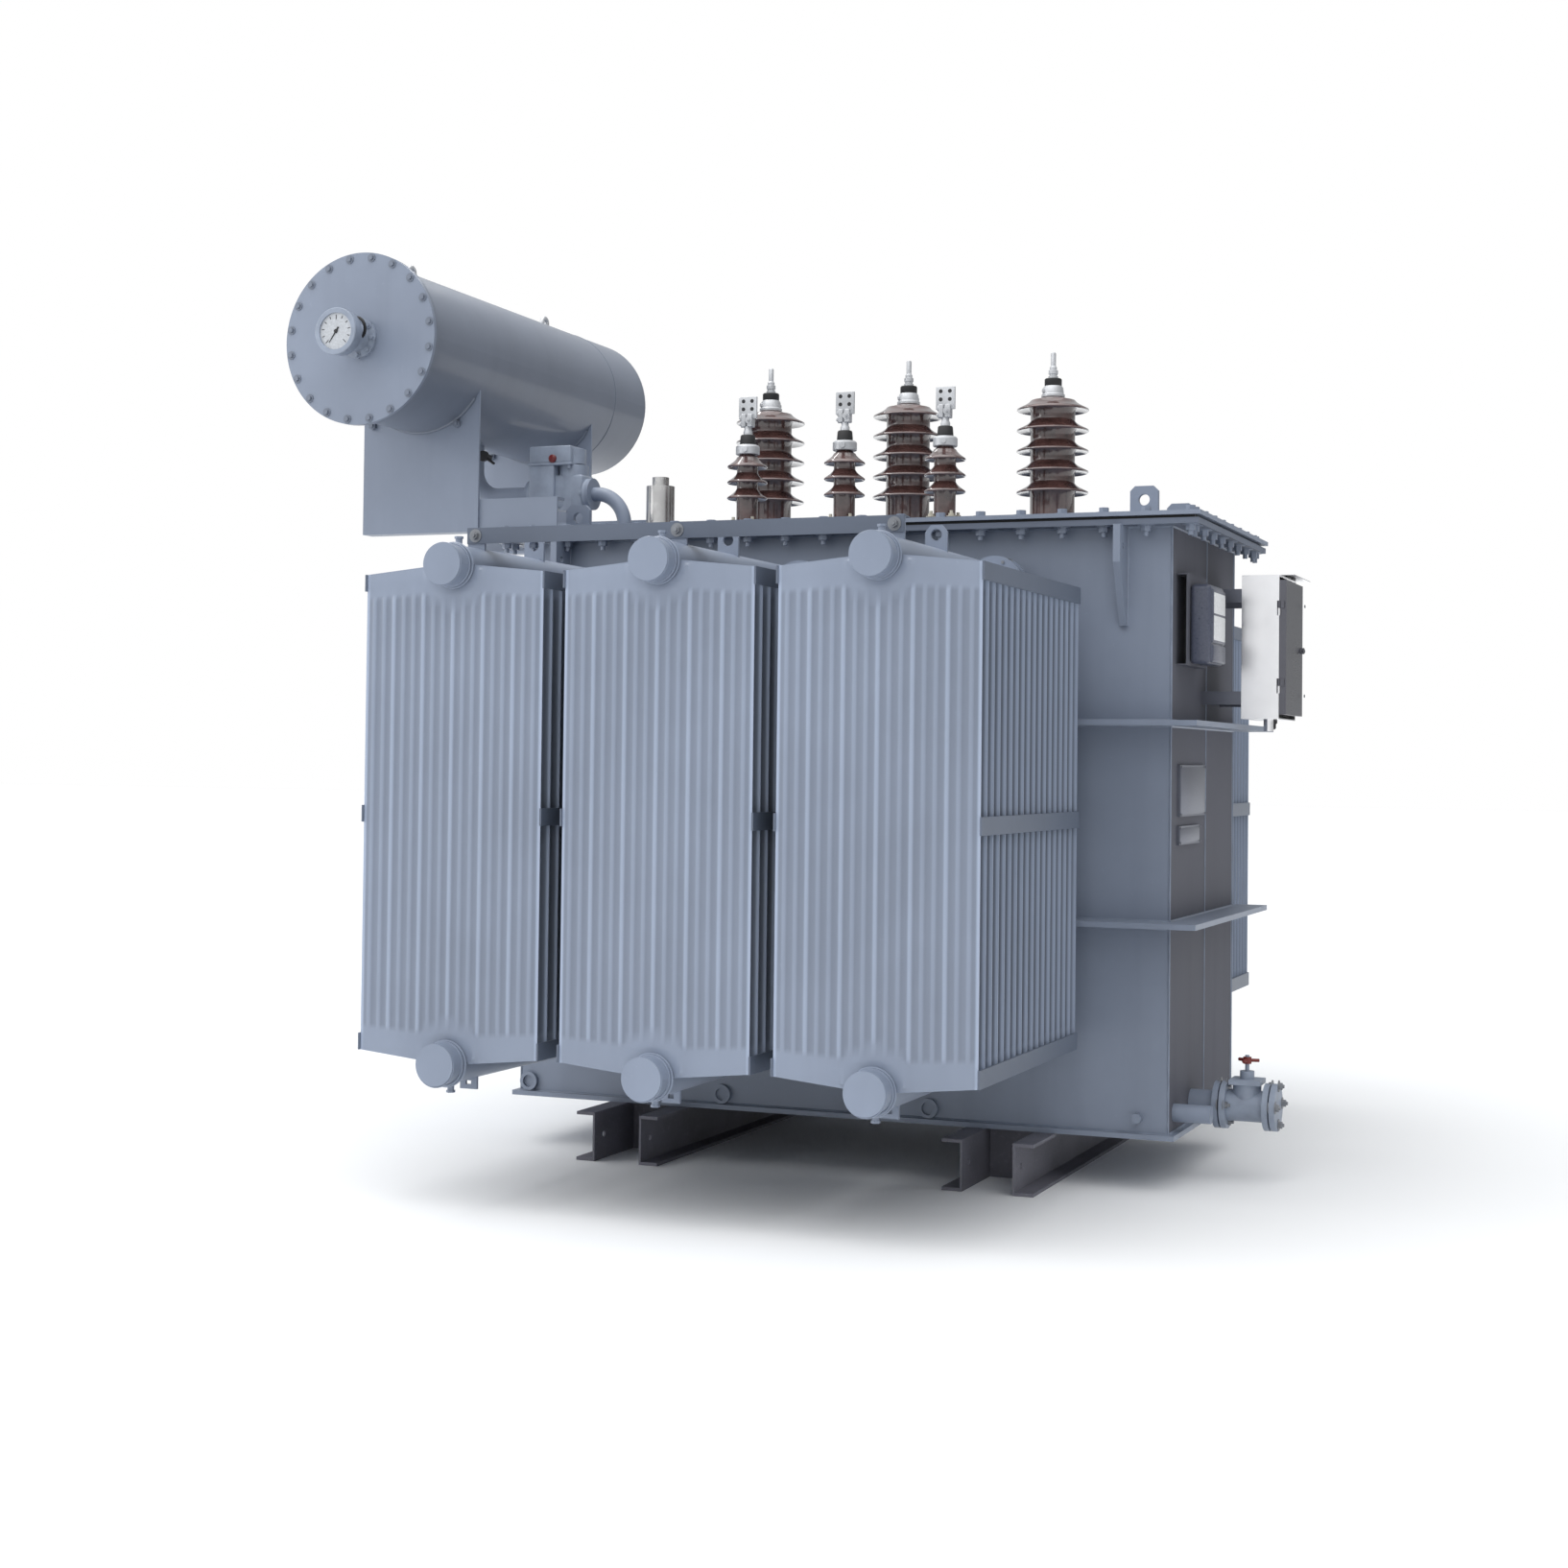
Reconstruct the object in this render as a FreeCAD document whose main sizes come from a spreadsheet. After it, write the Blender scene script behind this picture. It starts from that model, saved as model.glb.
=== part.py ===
import FreeCAD, Part
import Sketcher
import math
import os
import re

# Oil-filled power transformer with six panel radiators, a conservator and six bushings.
# Millimetres. X runs along the tank, Y from its front to its back, Z up.
# The origin is on the ground under the middle of the tank.

doc = FreeCAD.newDocument("PowerTransformer")

sizes = {
    # base channels
    "channelHeight": 140, "channelFlange": 58, "channelWeb": 6, "channelLip": 9,
    "channelLength": 1300, "pairCentre": 556, "pairGap": 142,
    "channelHole": 9, "channelHoleInset": 60, "spacerThick": 10, "spacerPlace": 390,
    # tank
    "baseThick": 14, "baseOverhang": 20, "tankLength": 1992, "tankWidth": 836,
    "wallHeight": 1660, "wallThick": 8, "weldGap": 0.5,
    "ribWidth": 91, "ribThick": 15, "lowerRib": 563, "upperRibDrop": 548, "ribTail": 91,
    "rimOverX": 86, "rimOverY": 62, "rimThick": 16, "rimLand": 70,
    "gasketThick": 8, "gasketInset": 14, "coverThick": 12, "coverLip": 6,
    "gussetPlace": 863, "gussetThick": 20, "gussetTall": 273, "gussetEdge": 103, "gussetFoot": 14,
    "gussetHole": 9,
    "bossPitch": 638, "bossShift": -327, "bossRadius": 28, "bossBore": 18, "bossReach": 14,
    "bossHeight": 43, "earthPlace": 913, "earthRadius": 13, "earthReach": 24,
    "coverLugPlace": 889, "coverLugFront": -297, "coverLugBack": 156, "coverLugWide": 80,
    "coverLugTall": 90, "coverLugThick": 16, "coverLugHole": 16, "coverLugCorner": 14,
    # radiators
    "finWide": 520, "finThick": 12, "finPitch": 50, "finCount": 18, "finStart": 178,
    "finLow": 241, "finTall": 1239, "gableRise": 26, "bankPitch": 583, "frontShift": -60,
    "headerRadius": 54, "headerBeyond": 19, "capReach": 60,
    "flangeRadius": 80, "flangeThick": 12, "valveThick": 40, "valveRadius": 62, "stubReach": 50,
    "bandTall": 44, "bandThick": 5, "bandMiddle": 593,
    "lugPlace": 922, "lugThick": 8, "lugHalf": 25, "lugAbove": 104, "lugBelow": 81,
    "slotHalf": 8, "slotInset": 17, "slotRadius": 5, "eyeHalf": 30, "eyeAbove": 115,
    "eyeHole": 15, "eyeDrop": 25,
    "tieTall": 42, "tieThick": 4,
    # conservator
    "vesselX": -1352, "vesselAbove": 543, "vesselRadius": 232, "vesselWall": 5,
    "vesselFront": -820, "vesselBack": 632, "landOut": 23, "vesselPlate": 12,
    "drumEyeFront": -540, "drumEyeBack": 315, "drumEyeThick": 22, "drumEyeHalf": 26,
    "drumEyeRise": 18, "drumEyeHole": 11,
    "supportHalf": 205, "supportThick": 8, "supportFront": -468, "supportBack": 275,
    "beamTall": 100, "beamFlange": 48, "beamWeb": 6, "beamEnd": -879,
    "gaugeNeck": 38, "gaugeNeckReach": 93, "gaugeFoot": 60, "gaugeFootThick": 10,
    "gaugeCase": 69, "gaugeCaseDepth": 35,
    # gas relay between the conservator and the cover
    "relayY": -138, "relayAbove": 144, "relayLeft": -1135, "relayRight": -930,
    "relayBody": 48, "relayDeep": 96, "relayHeadBase": 90, "relayHeadTall": 62, "relayHeadDeep": 120,
    "relayHeadEnd": -970, "relayFlange": 50, "relayFlangeThick": 10,
    "pipeRadius": 22, "pipeBend": 100, "pipeStraight": 8, "inletRadius": 30, "inletBend": 90,
    "reliefX": -688, "reliefRadius": 44, "reliefTall": 160, "reliefRing": 52, "reliefRingTall": 10,
    "reliefRingUp": 34, "reliefTop": 26, "reliefTopTall": 28,
    # bushings
    "highX": 15, "highPitch": 469, "highY": 184, "highBody": 68, "highShed": 110,
    "highShedCount": 5, "highShedPitch": 63.5, "highFirstShed": 140, "highPorcelain": 430,
    "highNeck": 36, "lowX": -31, "lowPitch": 314, "lowY": -250, "lowBody": 32, "lowShed": 61,
    "lowShedCount": 3, "lowShedPitch": 47.5, "lowFirstShed": 101, "lowPorcelain": 231,
    "lowNeck": 24, "shedLip": 5, "shedDrop": 10, "shedRise": 26,
    "highCap": 34, "highCapTall": 36, "highRing": 26, "highRingTall": 23, "highStud": 15,
    "highStudTall": 39, "highRod": 8, "highRodTall": 41,
    "lowCap": 36, "lowCapTall": 31, "lowRing": 24, "lowRingTall": 29, "lowStud": 14,
    "lowStudTall": 26, "clampHalf": 20, "clampTall": 40, "clampDeep": 30,
    "flagHalf": 29, "flagTall": 66, "flagThick": 8, "flagSink": 16,
    "flagHole": 6, "flagHoleX": 14, "flagHoleZ": 12,
    # control cabinet, its brackets and the instruments on the end wall
    "cabinetStand": 116, "cabinetDeep": 107, "cabinetY": -38, "cabinetWide": 267,
    "cabinetDrop": 520, "cabinetTall": 410, "cabinetSheet": 3,
    "doorDeep": 20, "doorInset": 13, "doorGap": 0.5, "hingeRadius": 5, "hingeTall": 42, "hingeOut": 6.5,
    "hingeInset": 60, "leafThick": 2, "leafReach": 18, "roofOver": 42, "roofThick": 2,
    "lockRadius": 9, "lockReach": 10, "lockInset": 28,
    "armTall": 38, "armThick": 6, "armLow": 60, "armHigh": 354,
    "glandRadius": 14, "glandReach": 34,
    "bracketY": -363, "bracketWide": 243, "bracketDrop": 379, "bracketTall": 254,
    "bracketStand": 28, "bracketSheet": 4,
    "dialY": -339, "dialWide": 190, "dialDrop": 374, "dialTall": 220, "dialDeep": 66,
    "plateY": -334, "plateWide": 322, "plateLow": 877, "plateTall": 143, "plateThick": 8,
    "smallY": -340, "smallWide": 258, "smallLow": 799, "smallTall": 52,
    # drain valve
    "drainY": -133, "drainHeight": 52, "drainPipe": 38, "drainFlange": 66, "drainFlangeThick": 16,
    "drainReach": 87, "drainSeal": 4, "drainSealRadius": 48, "drainBody": 44, "drainLength": 136,
    "bonnetHalf": 44, "bonnetThick": 14, "bonnetUp": 62, "domeRadius": 20, "domeTall": 22,
    "stemRadius": 6, "stemTop": 142, "stubY": -350, "stubRadius": 25, "stubLong": 104,
    "wheelRadius": 47, "wheelRim": 8, "wheelUp": 120, "wheelTall": 18, "wheelHub": 13,
    "wheelLobe": 11, "wheelLobes": 6, "spokeHalf": 5, "wheelPlay": 0.3,
}

sheet = doc.addObject("Spreadsheet::Sheet", "Sizes")
for row, (alias, value) in enumerate(sizes.items(), start=1):
    sheet.set("A%d" % row, alias)
    sheet.set("B%d" % row, str(value))
    sheet.setAlias("B%d" % row, alias)
doc.recompute()

# Heights and places that several pieces share, written as expressions on the sheet.
baseTop = "(channelHeight + baseThick)"
rimLow = "(channelHeight + baseThick + wallHeight)"
rimTop = "(channelHeight + baseThick + wallHeight + rimThick)"
coverTop = "(channelHeight + baseThick + wallHeight + rimThick + gasketThick + coverThick)"
finBase = "(channelHeight + baseThick + finLow)"
stackDeep = "((finCount - 1) * finPitch + finThick)"
lowHeader = "(channelHeight + baseThick + finLow - headerBeyond)"
topHeader = "(channelHeight + baseThick + finLow + finTall + headerBeyond)"
vesselZ = "(%s + vesselAbove)" % coverTop
relayZ = "(%s + relayAbove)" % coverTop
endWall = "(tankLength / 2)"
cabinetBack = "(tankLength / 2 + cabinetStand)"
cabinetFace = "(tankLength / 2 + cabinetStand + cabinetDeep)"
cabinetBase = "(channelHeight + baseThick + wallHeight - cabinetDrop)"
drainZ = "(channelHeight + baseThick + drainHeight)"
wheelX = "(tankLength / 2 + drainReach + drainSeal + drainLength / 2)"

turns = {
    "x": FreeCAD.Rotation(FreeCAD.Vector(0, 1, 0), 90),
    "y": FreeCAD.Rotation(FreeCAD.Vector(1, 0, 0), -90),
    "z": FreeCAD.Rotation(),
    "-y": FreeCAD.Rotation(FreeCAD.Vector(1, 0, 0), 90),
    "-z": FreeCAD.Rotation(FreeCAD.Vector(1, 0, 0), 180),
}
nodes = []


def bound(text):
    """An expression in which each word of the sheet points at its cell."""
    def cell(match):
        return "Sizes." + match.group() if match.group() in sizes else match.group()
    return re.sub(r"[A-Za-z]\w*", cell, str(text))


def number(text):
    """The same expression worked out now, to start a sketch near its final shape."""
    return float(sheet.evalExpression(bound(text)))


def place(thing, corner, axis="z"):
    thing.Placement = FreeCAD.Placement(FreeCAD.Vector(), turns[axis])
    for letter, text in zip("xyz", corner):
        thing.setExpression(".Placement.Base." + letter, bound(text))
    return thing


def box(name, corner, span):
    solid = doc.addObject("Part::Box", name)
    for side, text in zip(("Length", "Width", "Height"), span):
        solid.setExpression(side, bound(text))
    return place(solid, corner)


def cylinder(name, centre, radius, height, axis="z"):
    solid = doc.addObject("Part::Cylinder", name)
    solid.setExpression("Radius", bound(radius))
    solid.setExpression("Height", bound(height))
    return place(solid, centre, axis)


def bend(name, centre, bendRadius, pipeRadius, rotation):
    """A quarter of a torus."""
    solid = doc.addObject("Part::Torus", name)
    solid.setExpression("Radius1", bound(bendRadius))
    solid.setExpression("Radius2", bound(pipeRadius))
    solid.Angle3 = 90
    place(solid, centre)
    solid.Placement = FreeCAD.Placement(solid.Placement.Base, rotation)
    return solid


def fuse(name, pieces):
    joined = doc.addObject("Part::MultiFuse", name)
    joined.Shapes = pieces
    return joined


def cut(name, base, tools):
    result = doc.addObject("Part::Cut", name)
    result.Base = base
    result.Tool = tools[0] if len(tools) == 1 else fuse(name + "Tools", tools)
    return result


def group(name, pieces):
    bunch = doc.addObject("Part::Compound", name)
    bunch.Links = pieces
    return bunch


def node(thing, label):
    thing.Label = label
    nodes.append(thing)
    return thing


def sketchOn(body, role, name, corners, arcs=(), holes=()):
    """A closed outline. Corners are pairs of expressions and holes are circles (x, y, radius).
    Arcs maps the edge after a corner to its radius, the side its centre lies on (1 is left) and
    the way it runs (1 is anticlockwise)."""
    plane = [f for f in body.Origin.OriginFeatures if f.Role == role][0]
    sketch = body.newObject("Sketcher::SketchObject", name)
    sketch.AttachmentSupport = [(plane, "")]
    sketch.MapMode = "FlatFace"
    arcs = dict(arcs)
    points = [FreeCAD.Vector(number(x), number(y), 0) for x, y in corners]
    count = len(points)
    flips = {}
    for i, start in enumerate(points):
        end = points[(i + 1) % count]
        if i in arcs:
            radiusText, side, way = arcs[i]
            radius = number(radiusText)
            middle = (start + end) * 0.5
            half = (end - start).Length / 2
            normal = FreeCAD.Vector(-(end - start).y, (end - start).x, 0).normalize()
            centre = middle + normal * side * math.sqrt(max(radius ** 2 - half ** 2, 0))
            circle = Part.Circle(centre, FreeCAD.Vector(0, 0, 1), radius)
            first, last = (start, end) if way > 0 else (end, start)
            flips[i] = way < 0
            angleOne = math.atan2(first.y - centre.y, first.x - centre.x)
            angleTwo = math.atan2(last.y - centre.y, last.x - centre.x)
            sketch.addGeometry(Part.ArcOfCircle(circle, angleOne, angleTwo), False)
        else:
            flips[i] = False
            sketch.addGeometry(Part.LineSegment(start, end), False)
    for i in range(count):
        after = (i + 1) % count
        tail = 1 if flips[i] else 2
        head = 2 if flips[after] else 1
        sketch.addConstraint(Sketcher.Constraint("Coincident", i, tail, after, head))
    for i, (x, y) in enumerate(corners):
        head = 2 if flips[i] else 1
        for kind, text, value in (("DistanceX", x, points[i].x), ("DistanceY", y, points[i].y)):
            index = sketch.addConstraint(Sketcher.Constraint(kind, -1, 1, i, head, value))
            sketch.setExpression("Constraints[%d]" % index, bound(text))
    for i, (radiusText, side, way) in arcs.items():
        index = sketch.addConstraint(Sketcher.Constraint("Radius", i, number(radiusText)))
        sketch.setExpression("Constraints[%d]" % index, bound(radiusText))
    for x, y, radius in holes:
        ring = Part.Circle(FreeCAD.Vector(number(x), number(y), 0), FreeCAD.Vector(0, 0, 1), number(radius))
        hole = sketch.addGeometry(ring, False)
        index = sketch.addConstraint(Sketcher.Constraint("Radius", hole, number(radius)))
        sketch.setExpression("Constraints[%d]" % index, bound(radius))
        for kind, text in (("DistanceX", x), ("DistanceY", y)):
            index = sketch.addConstraint(Sketcher.Constraint(kind, -1, 1, hole, 3, number(text)))
            sketch.setExpression("Constraints[%d]" % index, bound(text))
    return sketch


def plate(name, role, corners, thick, corner=("0", "0", "0"), arcs=(), holes=()):
    """A sketched outline padded to a thickness. XZ outlines grow towards -Y, YZ ones towards +X."""
    body = doc.addObject("PartDesign::Body", name)
    sketch = sketchOn(body, role, name + "Outline", corners, arcs, holes)
    pad = body.newObject("PartDesign::Pad", name + "Pad")
    pad.Profile = sketch
    pad.setExpression("Length", bound(thick))
    sketch.Visibility = False
    return place(body, corner)


def turned(name, corners, corner, arcs=()):
    """An outline in the XZ plane turned about Z."""
    body = doc.addObject("PartDesign::Body", name)
    sketch = sketchOn(body, "XZ_Plane", name + "Outline", corners, arcs)
    spin = body.newObject("PartDesign::Revolution", name + "Spin")
    spin.Profile = sketch
    spin.ReferenceAxis = (sketch, ["V_Axis"])
    spin.Angle = 360
    sketch.Visibility = False
    return place(body, corner)


def channelOutline(height, flange, web, lip, side):
    """Corners of a C section whose back is at zero and whose flanges point to one side."""
    out = "(%d * %s)" % (side, flange)
    skin = "(%d * %s)" % (side, web)
    top = "(%s - %s)" % (height, lip)
    return [("0", "0"), (out, "0"), (out, lip), (skin, lip),
            (skin, top), (out, top), (out, height), ("0", height)]


# Base: two pairs of channels across the tank, with spacer plates between their webs.

def baseFrame():
    channels = []
    spacers = []
    for pair in (-1, 1):
        for side in (-1, 1):
            name = "channel%s%s" % ("LR"[pair > 0], "ab"[side > 0])
            outline = channelOutline("channelHeight", "channelFlange", "channelWeb", "channelLip", side)
            back = "%d * pairCentre + %d * pairGap / 2" % (pair, side)
            bar = plate(name + "Bar", "XZ_Plane", outline, "channelLength", (back, "channelLength / 2", "0"))
            drills = []
            for end in (-1, 1):
                y = "%d * (channelLength / 2 - channelHoleInset)" % end
                start = "%s - channelWeb * 2" % back
                drills.append(cylinder("%sHole%s" % (name, "ab"[end > 0]), (start, y, "channelHeight / 2"),
                                       "channelHole", "channelWeb * 4", "x"))
            channels.append(cut(name, bar, drills))
        for end in (-1, 1):
            spacers.append(box("spacer%s%s" % ("LR"[pair > 0], "ab"[end > 0]),
                               ("%d * pairCentre - pairGap / 2" % pair,
                                "%d * spacerPlace - spacerThick / 2" % end, "0"),
                               ("pairGap", "spacerThick", "channelHeight")))
    node(group("baseChannels", channels), "base_channels")
    node(group("channelSpacers", spacers), "channel_spacers")
    node(box("basePlate",
             ("-tankLength / 2 - baseOverhang", "-tankWidth / 2 - baseOverhang", "channelHeight"),
             ("tankLength + 2 * baseOverhang", "tankWidth + 2 * baseOverhang", "baseThick")), "base_plate")


# Tank: four walls, ribs, rim, gasket and cover. The inside is empty.

def ring(name, outX, outY, inX, inY, low, tall):
    """Four flat bars round the tank. The long ones hold the corners."""
    bars = []
    for side in (-1, 1):
        edge = "-(%s)" % outY if side < 0 else "(%s)" % inY
        bars.append(box("%sLong%s" % (name, "ab"[side > 0]), ("-(%s)" % outX, edge, low),
                        ("2 * (%s)" % outX, "(%s) - (%s)" % (outY, inY), tall)))
        edge = "-(%s)" % outX if side < 0 else "(%s)" % inX
        bars.append(box("%sShort%s" % (name, "ab"[side > 0]), (edge, "-(%s) + weldGap" % inY, low),
                        ("(%s) - (%s)" % (outX, inX), "2 * (%s) - 2 * weldGap" % inY, tall)))
    return bars


def tank():
    for side, word in ((-1, "front"), (1, "back")):
        edge = "-tankWidth / 2" if side < 0 else "tankWidth / 2 - wallThick"
        node(box("wall" + word, ("-tankLength / 2", edge, baseTop),
                 ("tankLength", "wallThick", "wallHeight")),
             "tank_wall_" + word)
    for side, word in ((-1, "left"), (1, "right")):
        edge = "-tankLength / 2" if side < 0 else "tankLength / 2 - wallThick"
        node(box("wall" + word, (edge, "-tankWidth / 2 + wallThick", baseTop),
                 ("wallThick", "tankWidth - 2 * wallThick", "wallHeight")), "tank_wall_" + word)

    wallX = "tankLength / 2"
    wallY = "tankWidth / 2"
    lower = ring("lowerRib", wallX + " + ribWidth", wallY + " + ribWidth", wallX, wallY,
                 baseTop + " + lowerRib", "ribThick")
    node(group("lowerRibs", lower), "lower_ribs")

    # The upper rib of the right end runs on past the back corner.
    level = rimLow + " - upperRibDrop"
    upper = [
        box("upperRibFront", ("-(%s + ribWidth)" % wallX, "-(%s + ribWidth)" % wallY, level),
            ("tankLength + 2 * ribWidth", "ribWidth", "ribThick")),
        box("upperRibBack", ("-(%s + ribWidth)" % wallX, wallY, level),
            ("tankLength + ribWidth - weldGap", "ribWidth", "ribThick")),
        box("upperRibLeft", ("-(%s + ribWidth)" % wallX, "-%s + weldGap" % wallY, level),
            ("ribWidth", "tankWidth - 2 * weldGap", "ribThick")),
        box("upperRibRight", (wallX, "-%s + weldGap" % wallY, level),
            ("ribWidth", "tankWidth + ribWidth + ribTail - weldGap", "ribThick")),
    ]
    node(group("upperRibs", upper), "upper_ribs")

    rimX = wallX + " + rimOverX"
    rimY = wallY + " + rimOverY"
    inX = wallX + " - wallThick"
    inY = wallY + " - wallThick"
    node(group("rimFlange", ring("rim", rimX, rimY, inX, inY, rimLow, "rimThick")), "rim_flange")
    seal = ring("seal", rimX + " - gasketInset", rimY + " - gasketInset", inX, inY, rimTop, "gasketThick")
    node(group("coverGasket", seal), "cover_gasket")
    node(box("tankCover", ("-(%s + coverLip)" % rimX, "-(%s + coverLip)" % rimY, rimTop + " + gasketThick"),
             ("2 * (%s + coverLip)" % rimX, "2 * (%s + coverLip)" % rimY, "coverThick")), "tank_cover")

    # Lifting gussets under the rim, two on each long wall.
    gussets = []
    for side in (-1, 1):
        for end in (-1, 1):
            outline = [("0", "0"), ("%d * ribWidth" % side, "0"), ("%d * ribWidth" % side, "-gussetEdge"),
                       ("%d * gussetFoot" % side, "-gussetTall"), ("0", "-gussetTall")]
            holes = [("%d * ribWidth * 0.62" % side, "-gussetEdge * 0.55", "gussetHole")]
            name = "gusset%s%s" % ("fb"[side > 0], "LR"[end > 0])
            gussets.append(plate(name, "YZ_Plane", outline, "gussetThick",
                                 ("%d * gussetPlace - gussetThick / 2" % end, "%d * tankWidth / 2" % side,
                                  rimLow),
                                 holes=holes))
    node(group("tankGussets", gussets), "tank_gussets")

    # Ring bosses and the earthing boss low on the front wall.
    bosses = []
    bossZ = baseTop + " - baseThick + bossHeight"
    for step in (-1, 0, 1):
        centre = ("bossShift + %d * bossPitch" % step, "-tankWidth / 2 - bossReach", bossZ)
        name = "boss%s" % "abc"[step + 1]
        bosses.append(cut(name, cylinder(name + "Outer", centre, "bossRadius", "bossReach", "y"),
                          [cylinder(name + "Bore", centre, "bossBore", "bossReach * 0.7", "y")]))
    bosses.append(cylinder("earthBoss",
                           ("earthPlace", "-tankWidth / 2 - earthReach", bossZ + " + earthRadius"),
                           "earthRadius", "earthReach", "y"))
    node(group("tankBosses", bosses), "tank_bosses")

    # Lifting lugs on the cover.
    lugs = []
    half = "coverLugWide / 2"
    outline = [("-" + half, "0"), (half, "0"), (half, "coverLugTall - coverLugCorner"),
               (half + " - coverLugCorner", "coverLugTall"),
               ("-" + half + " + coverLugCorner", "coverLugTall"),
               ("-" + half, "coverLugTall - coverLugCorner")]
    for end in (-1, 1):
        for row in ("coverLugFront", "coverLugBack"):
            lugs.append(plate("coverLug%s%s" % ("LR"[end > 0], row[8]), "XZ_Plane", outline, "coverLugThick",
                              ("%d * coverLugPlace" % end, row + " + coverLugThick / 2", coverTop),
                              holes=[("0", "coverLugTall * 0.57", "coverLugHole")]))
    node(group("coverLugs", lugs), "cover_lugs")


# Radiators: fins on two header pipes, flat bands on the fin edges, valves and wall stubs.

def finOutline():
    half = "finWide / 2"
    peak = "finTall + gableRise"
    notch = "sqrt(headerRadius * headerRadius - (gableRise - headerBeyond) * (gableRise - headerBeyond))"
    corners = [("-" + half, "0"), ("-" + notch, "-gableRise"), (notch, "-gableRise"), (half, "0"),
               (half, "finTall"), (notch, peak), ("-" + notch, peak), ("-" + half, "finTall")]
    return corners, {1: ("headerRadius", 1, -1), 5: ("headerRadius", 1, -1)}


def radiatorX(side, index):
    shift = "frontShift + " if side < 0 else ""
    return "%s%d * bankPitch" % (shift, index - 2)


def fins(side, index, word):
    corners, arcs = finOutline()
    name = "fins%s%d" % (word, index)
    body = doc.addObject("PartDesign::Body", name)
    sketch = sketchOn(body, "XZ_Plane", name + "Outline", corners, arcs)
    pad = body.newObject("PartDesign::Pad", name + "Pad")
    pad.Profile = sketch
    pad.setExpression("Length", bound("finThick"))
    doc.recompute()
    row = body.newObject("PartDesign::LinearPattern", name + "Row")
    row.Originals = [pad]
    row.Direction = (sketch, ["N_Axis"])
    row.Reversed = side > 0
    row.setExpression("Length", bound("(finCount - 1) * finPitch"))
    row.setExpression("Occurrences", bound("finCount"))
    body.Tip = row
    sketch.Visibility = False
    start = "%d * (tankWidth / 2 + finStart)" % side
    if side > 0:
        start += " + finThick"
    place(body, (radiatorX(side, index), start, finBase))
    node(body, "radiator_%s_%d_fins" % (word, index))


def header(side, index, word, top):
    """One header pipe with its wall flange, its lug for the tie bar and, at the top, a lifting eye."""
    name = "header%s%d%s" % (word, index, "Top" if top else "Low")
    x = radiatorX(side, index)
    z = topHeader if top else lowHeader
    inner = "tankWidth / 2 + stubReach + flangeThick + valveThick"
    outer = "tankWidth / 2 + finStart + %s + capReach" % stackDeep
    axis = "y" if side > 0 else "-y"
    pieces = [
        cylinder(name + "Pipe", (x, "%d * (%s)" % (side, inner), z), "headerRadius",
                 "(%s) - (%s)" % (outer, inner), axis),
        cylinder(name + "Flange", (x, "%d * (%s)" % (side, inner), z), "flangeRadius", "flangeThick", axis),
    ]
    up = 1 if top else -1
    reach = "%d * %s" % (up, "lugAbove" if top else "lugBelow")
    slotZ = "%d * (%s - slotInset)" % (up, "lugAbove" if top else "lugBelow")
    outline = [("-lugHalf", "0"), ("lugHalf", "0"), ("lugHalf", reach), ("-lugHalf", reach)]
    if not top:
        outline.reverse()
    lugY = "%d * (tankWidth / 2 + lugPlace) + lugThick / 2" % side
    lug = plate(name + "Lug", "XZ_Plane", outline, "lugThick", (x, lugY, z))
    slotY = "%d * (tankWidth / 2 + lugPlace) - lugThick" % side
    slot = box(name + "Slot", (x + " - slotHalf", slotY, z + " + " + slotZ + " - slotRadius"),
               ("2 * slotHalf", "2 * lugThick", "2 * slotRadius"))
    pieces.append(cut(name + "SlottedLug", lug, [slot]))
    if top:
        eyeY = "%d * (tankWidth / 2 + finStart + %s / 2) + lugThick / 2" % (side, stackDeep)
        outline = [("-eyeHalf", "0"), ("eyeHalf", "0"), ("eyeHalf", "eyeAbove - eyeHalf * 0.6"),
                   ("eyeHalf * 0.5", "eyeAbove"), ("-eyeHalf * 0.5", "eyeAbove"),
                   ("-eyeHalf", "eyeAbove - eyeHalf * 0.6")]
        pieces.append(plate(name + "Eye", "XZ_Plane", outline, "lugThick", (x, eyeY, z),
                            holes=[("0", "eyeAbove - eyeDrop", "eyeHole")]))
    return fuse(name, pieces)


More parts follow.
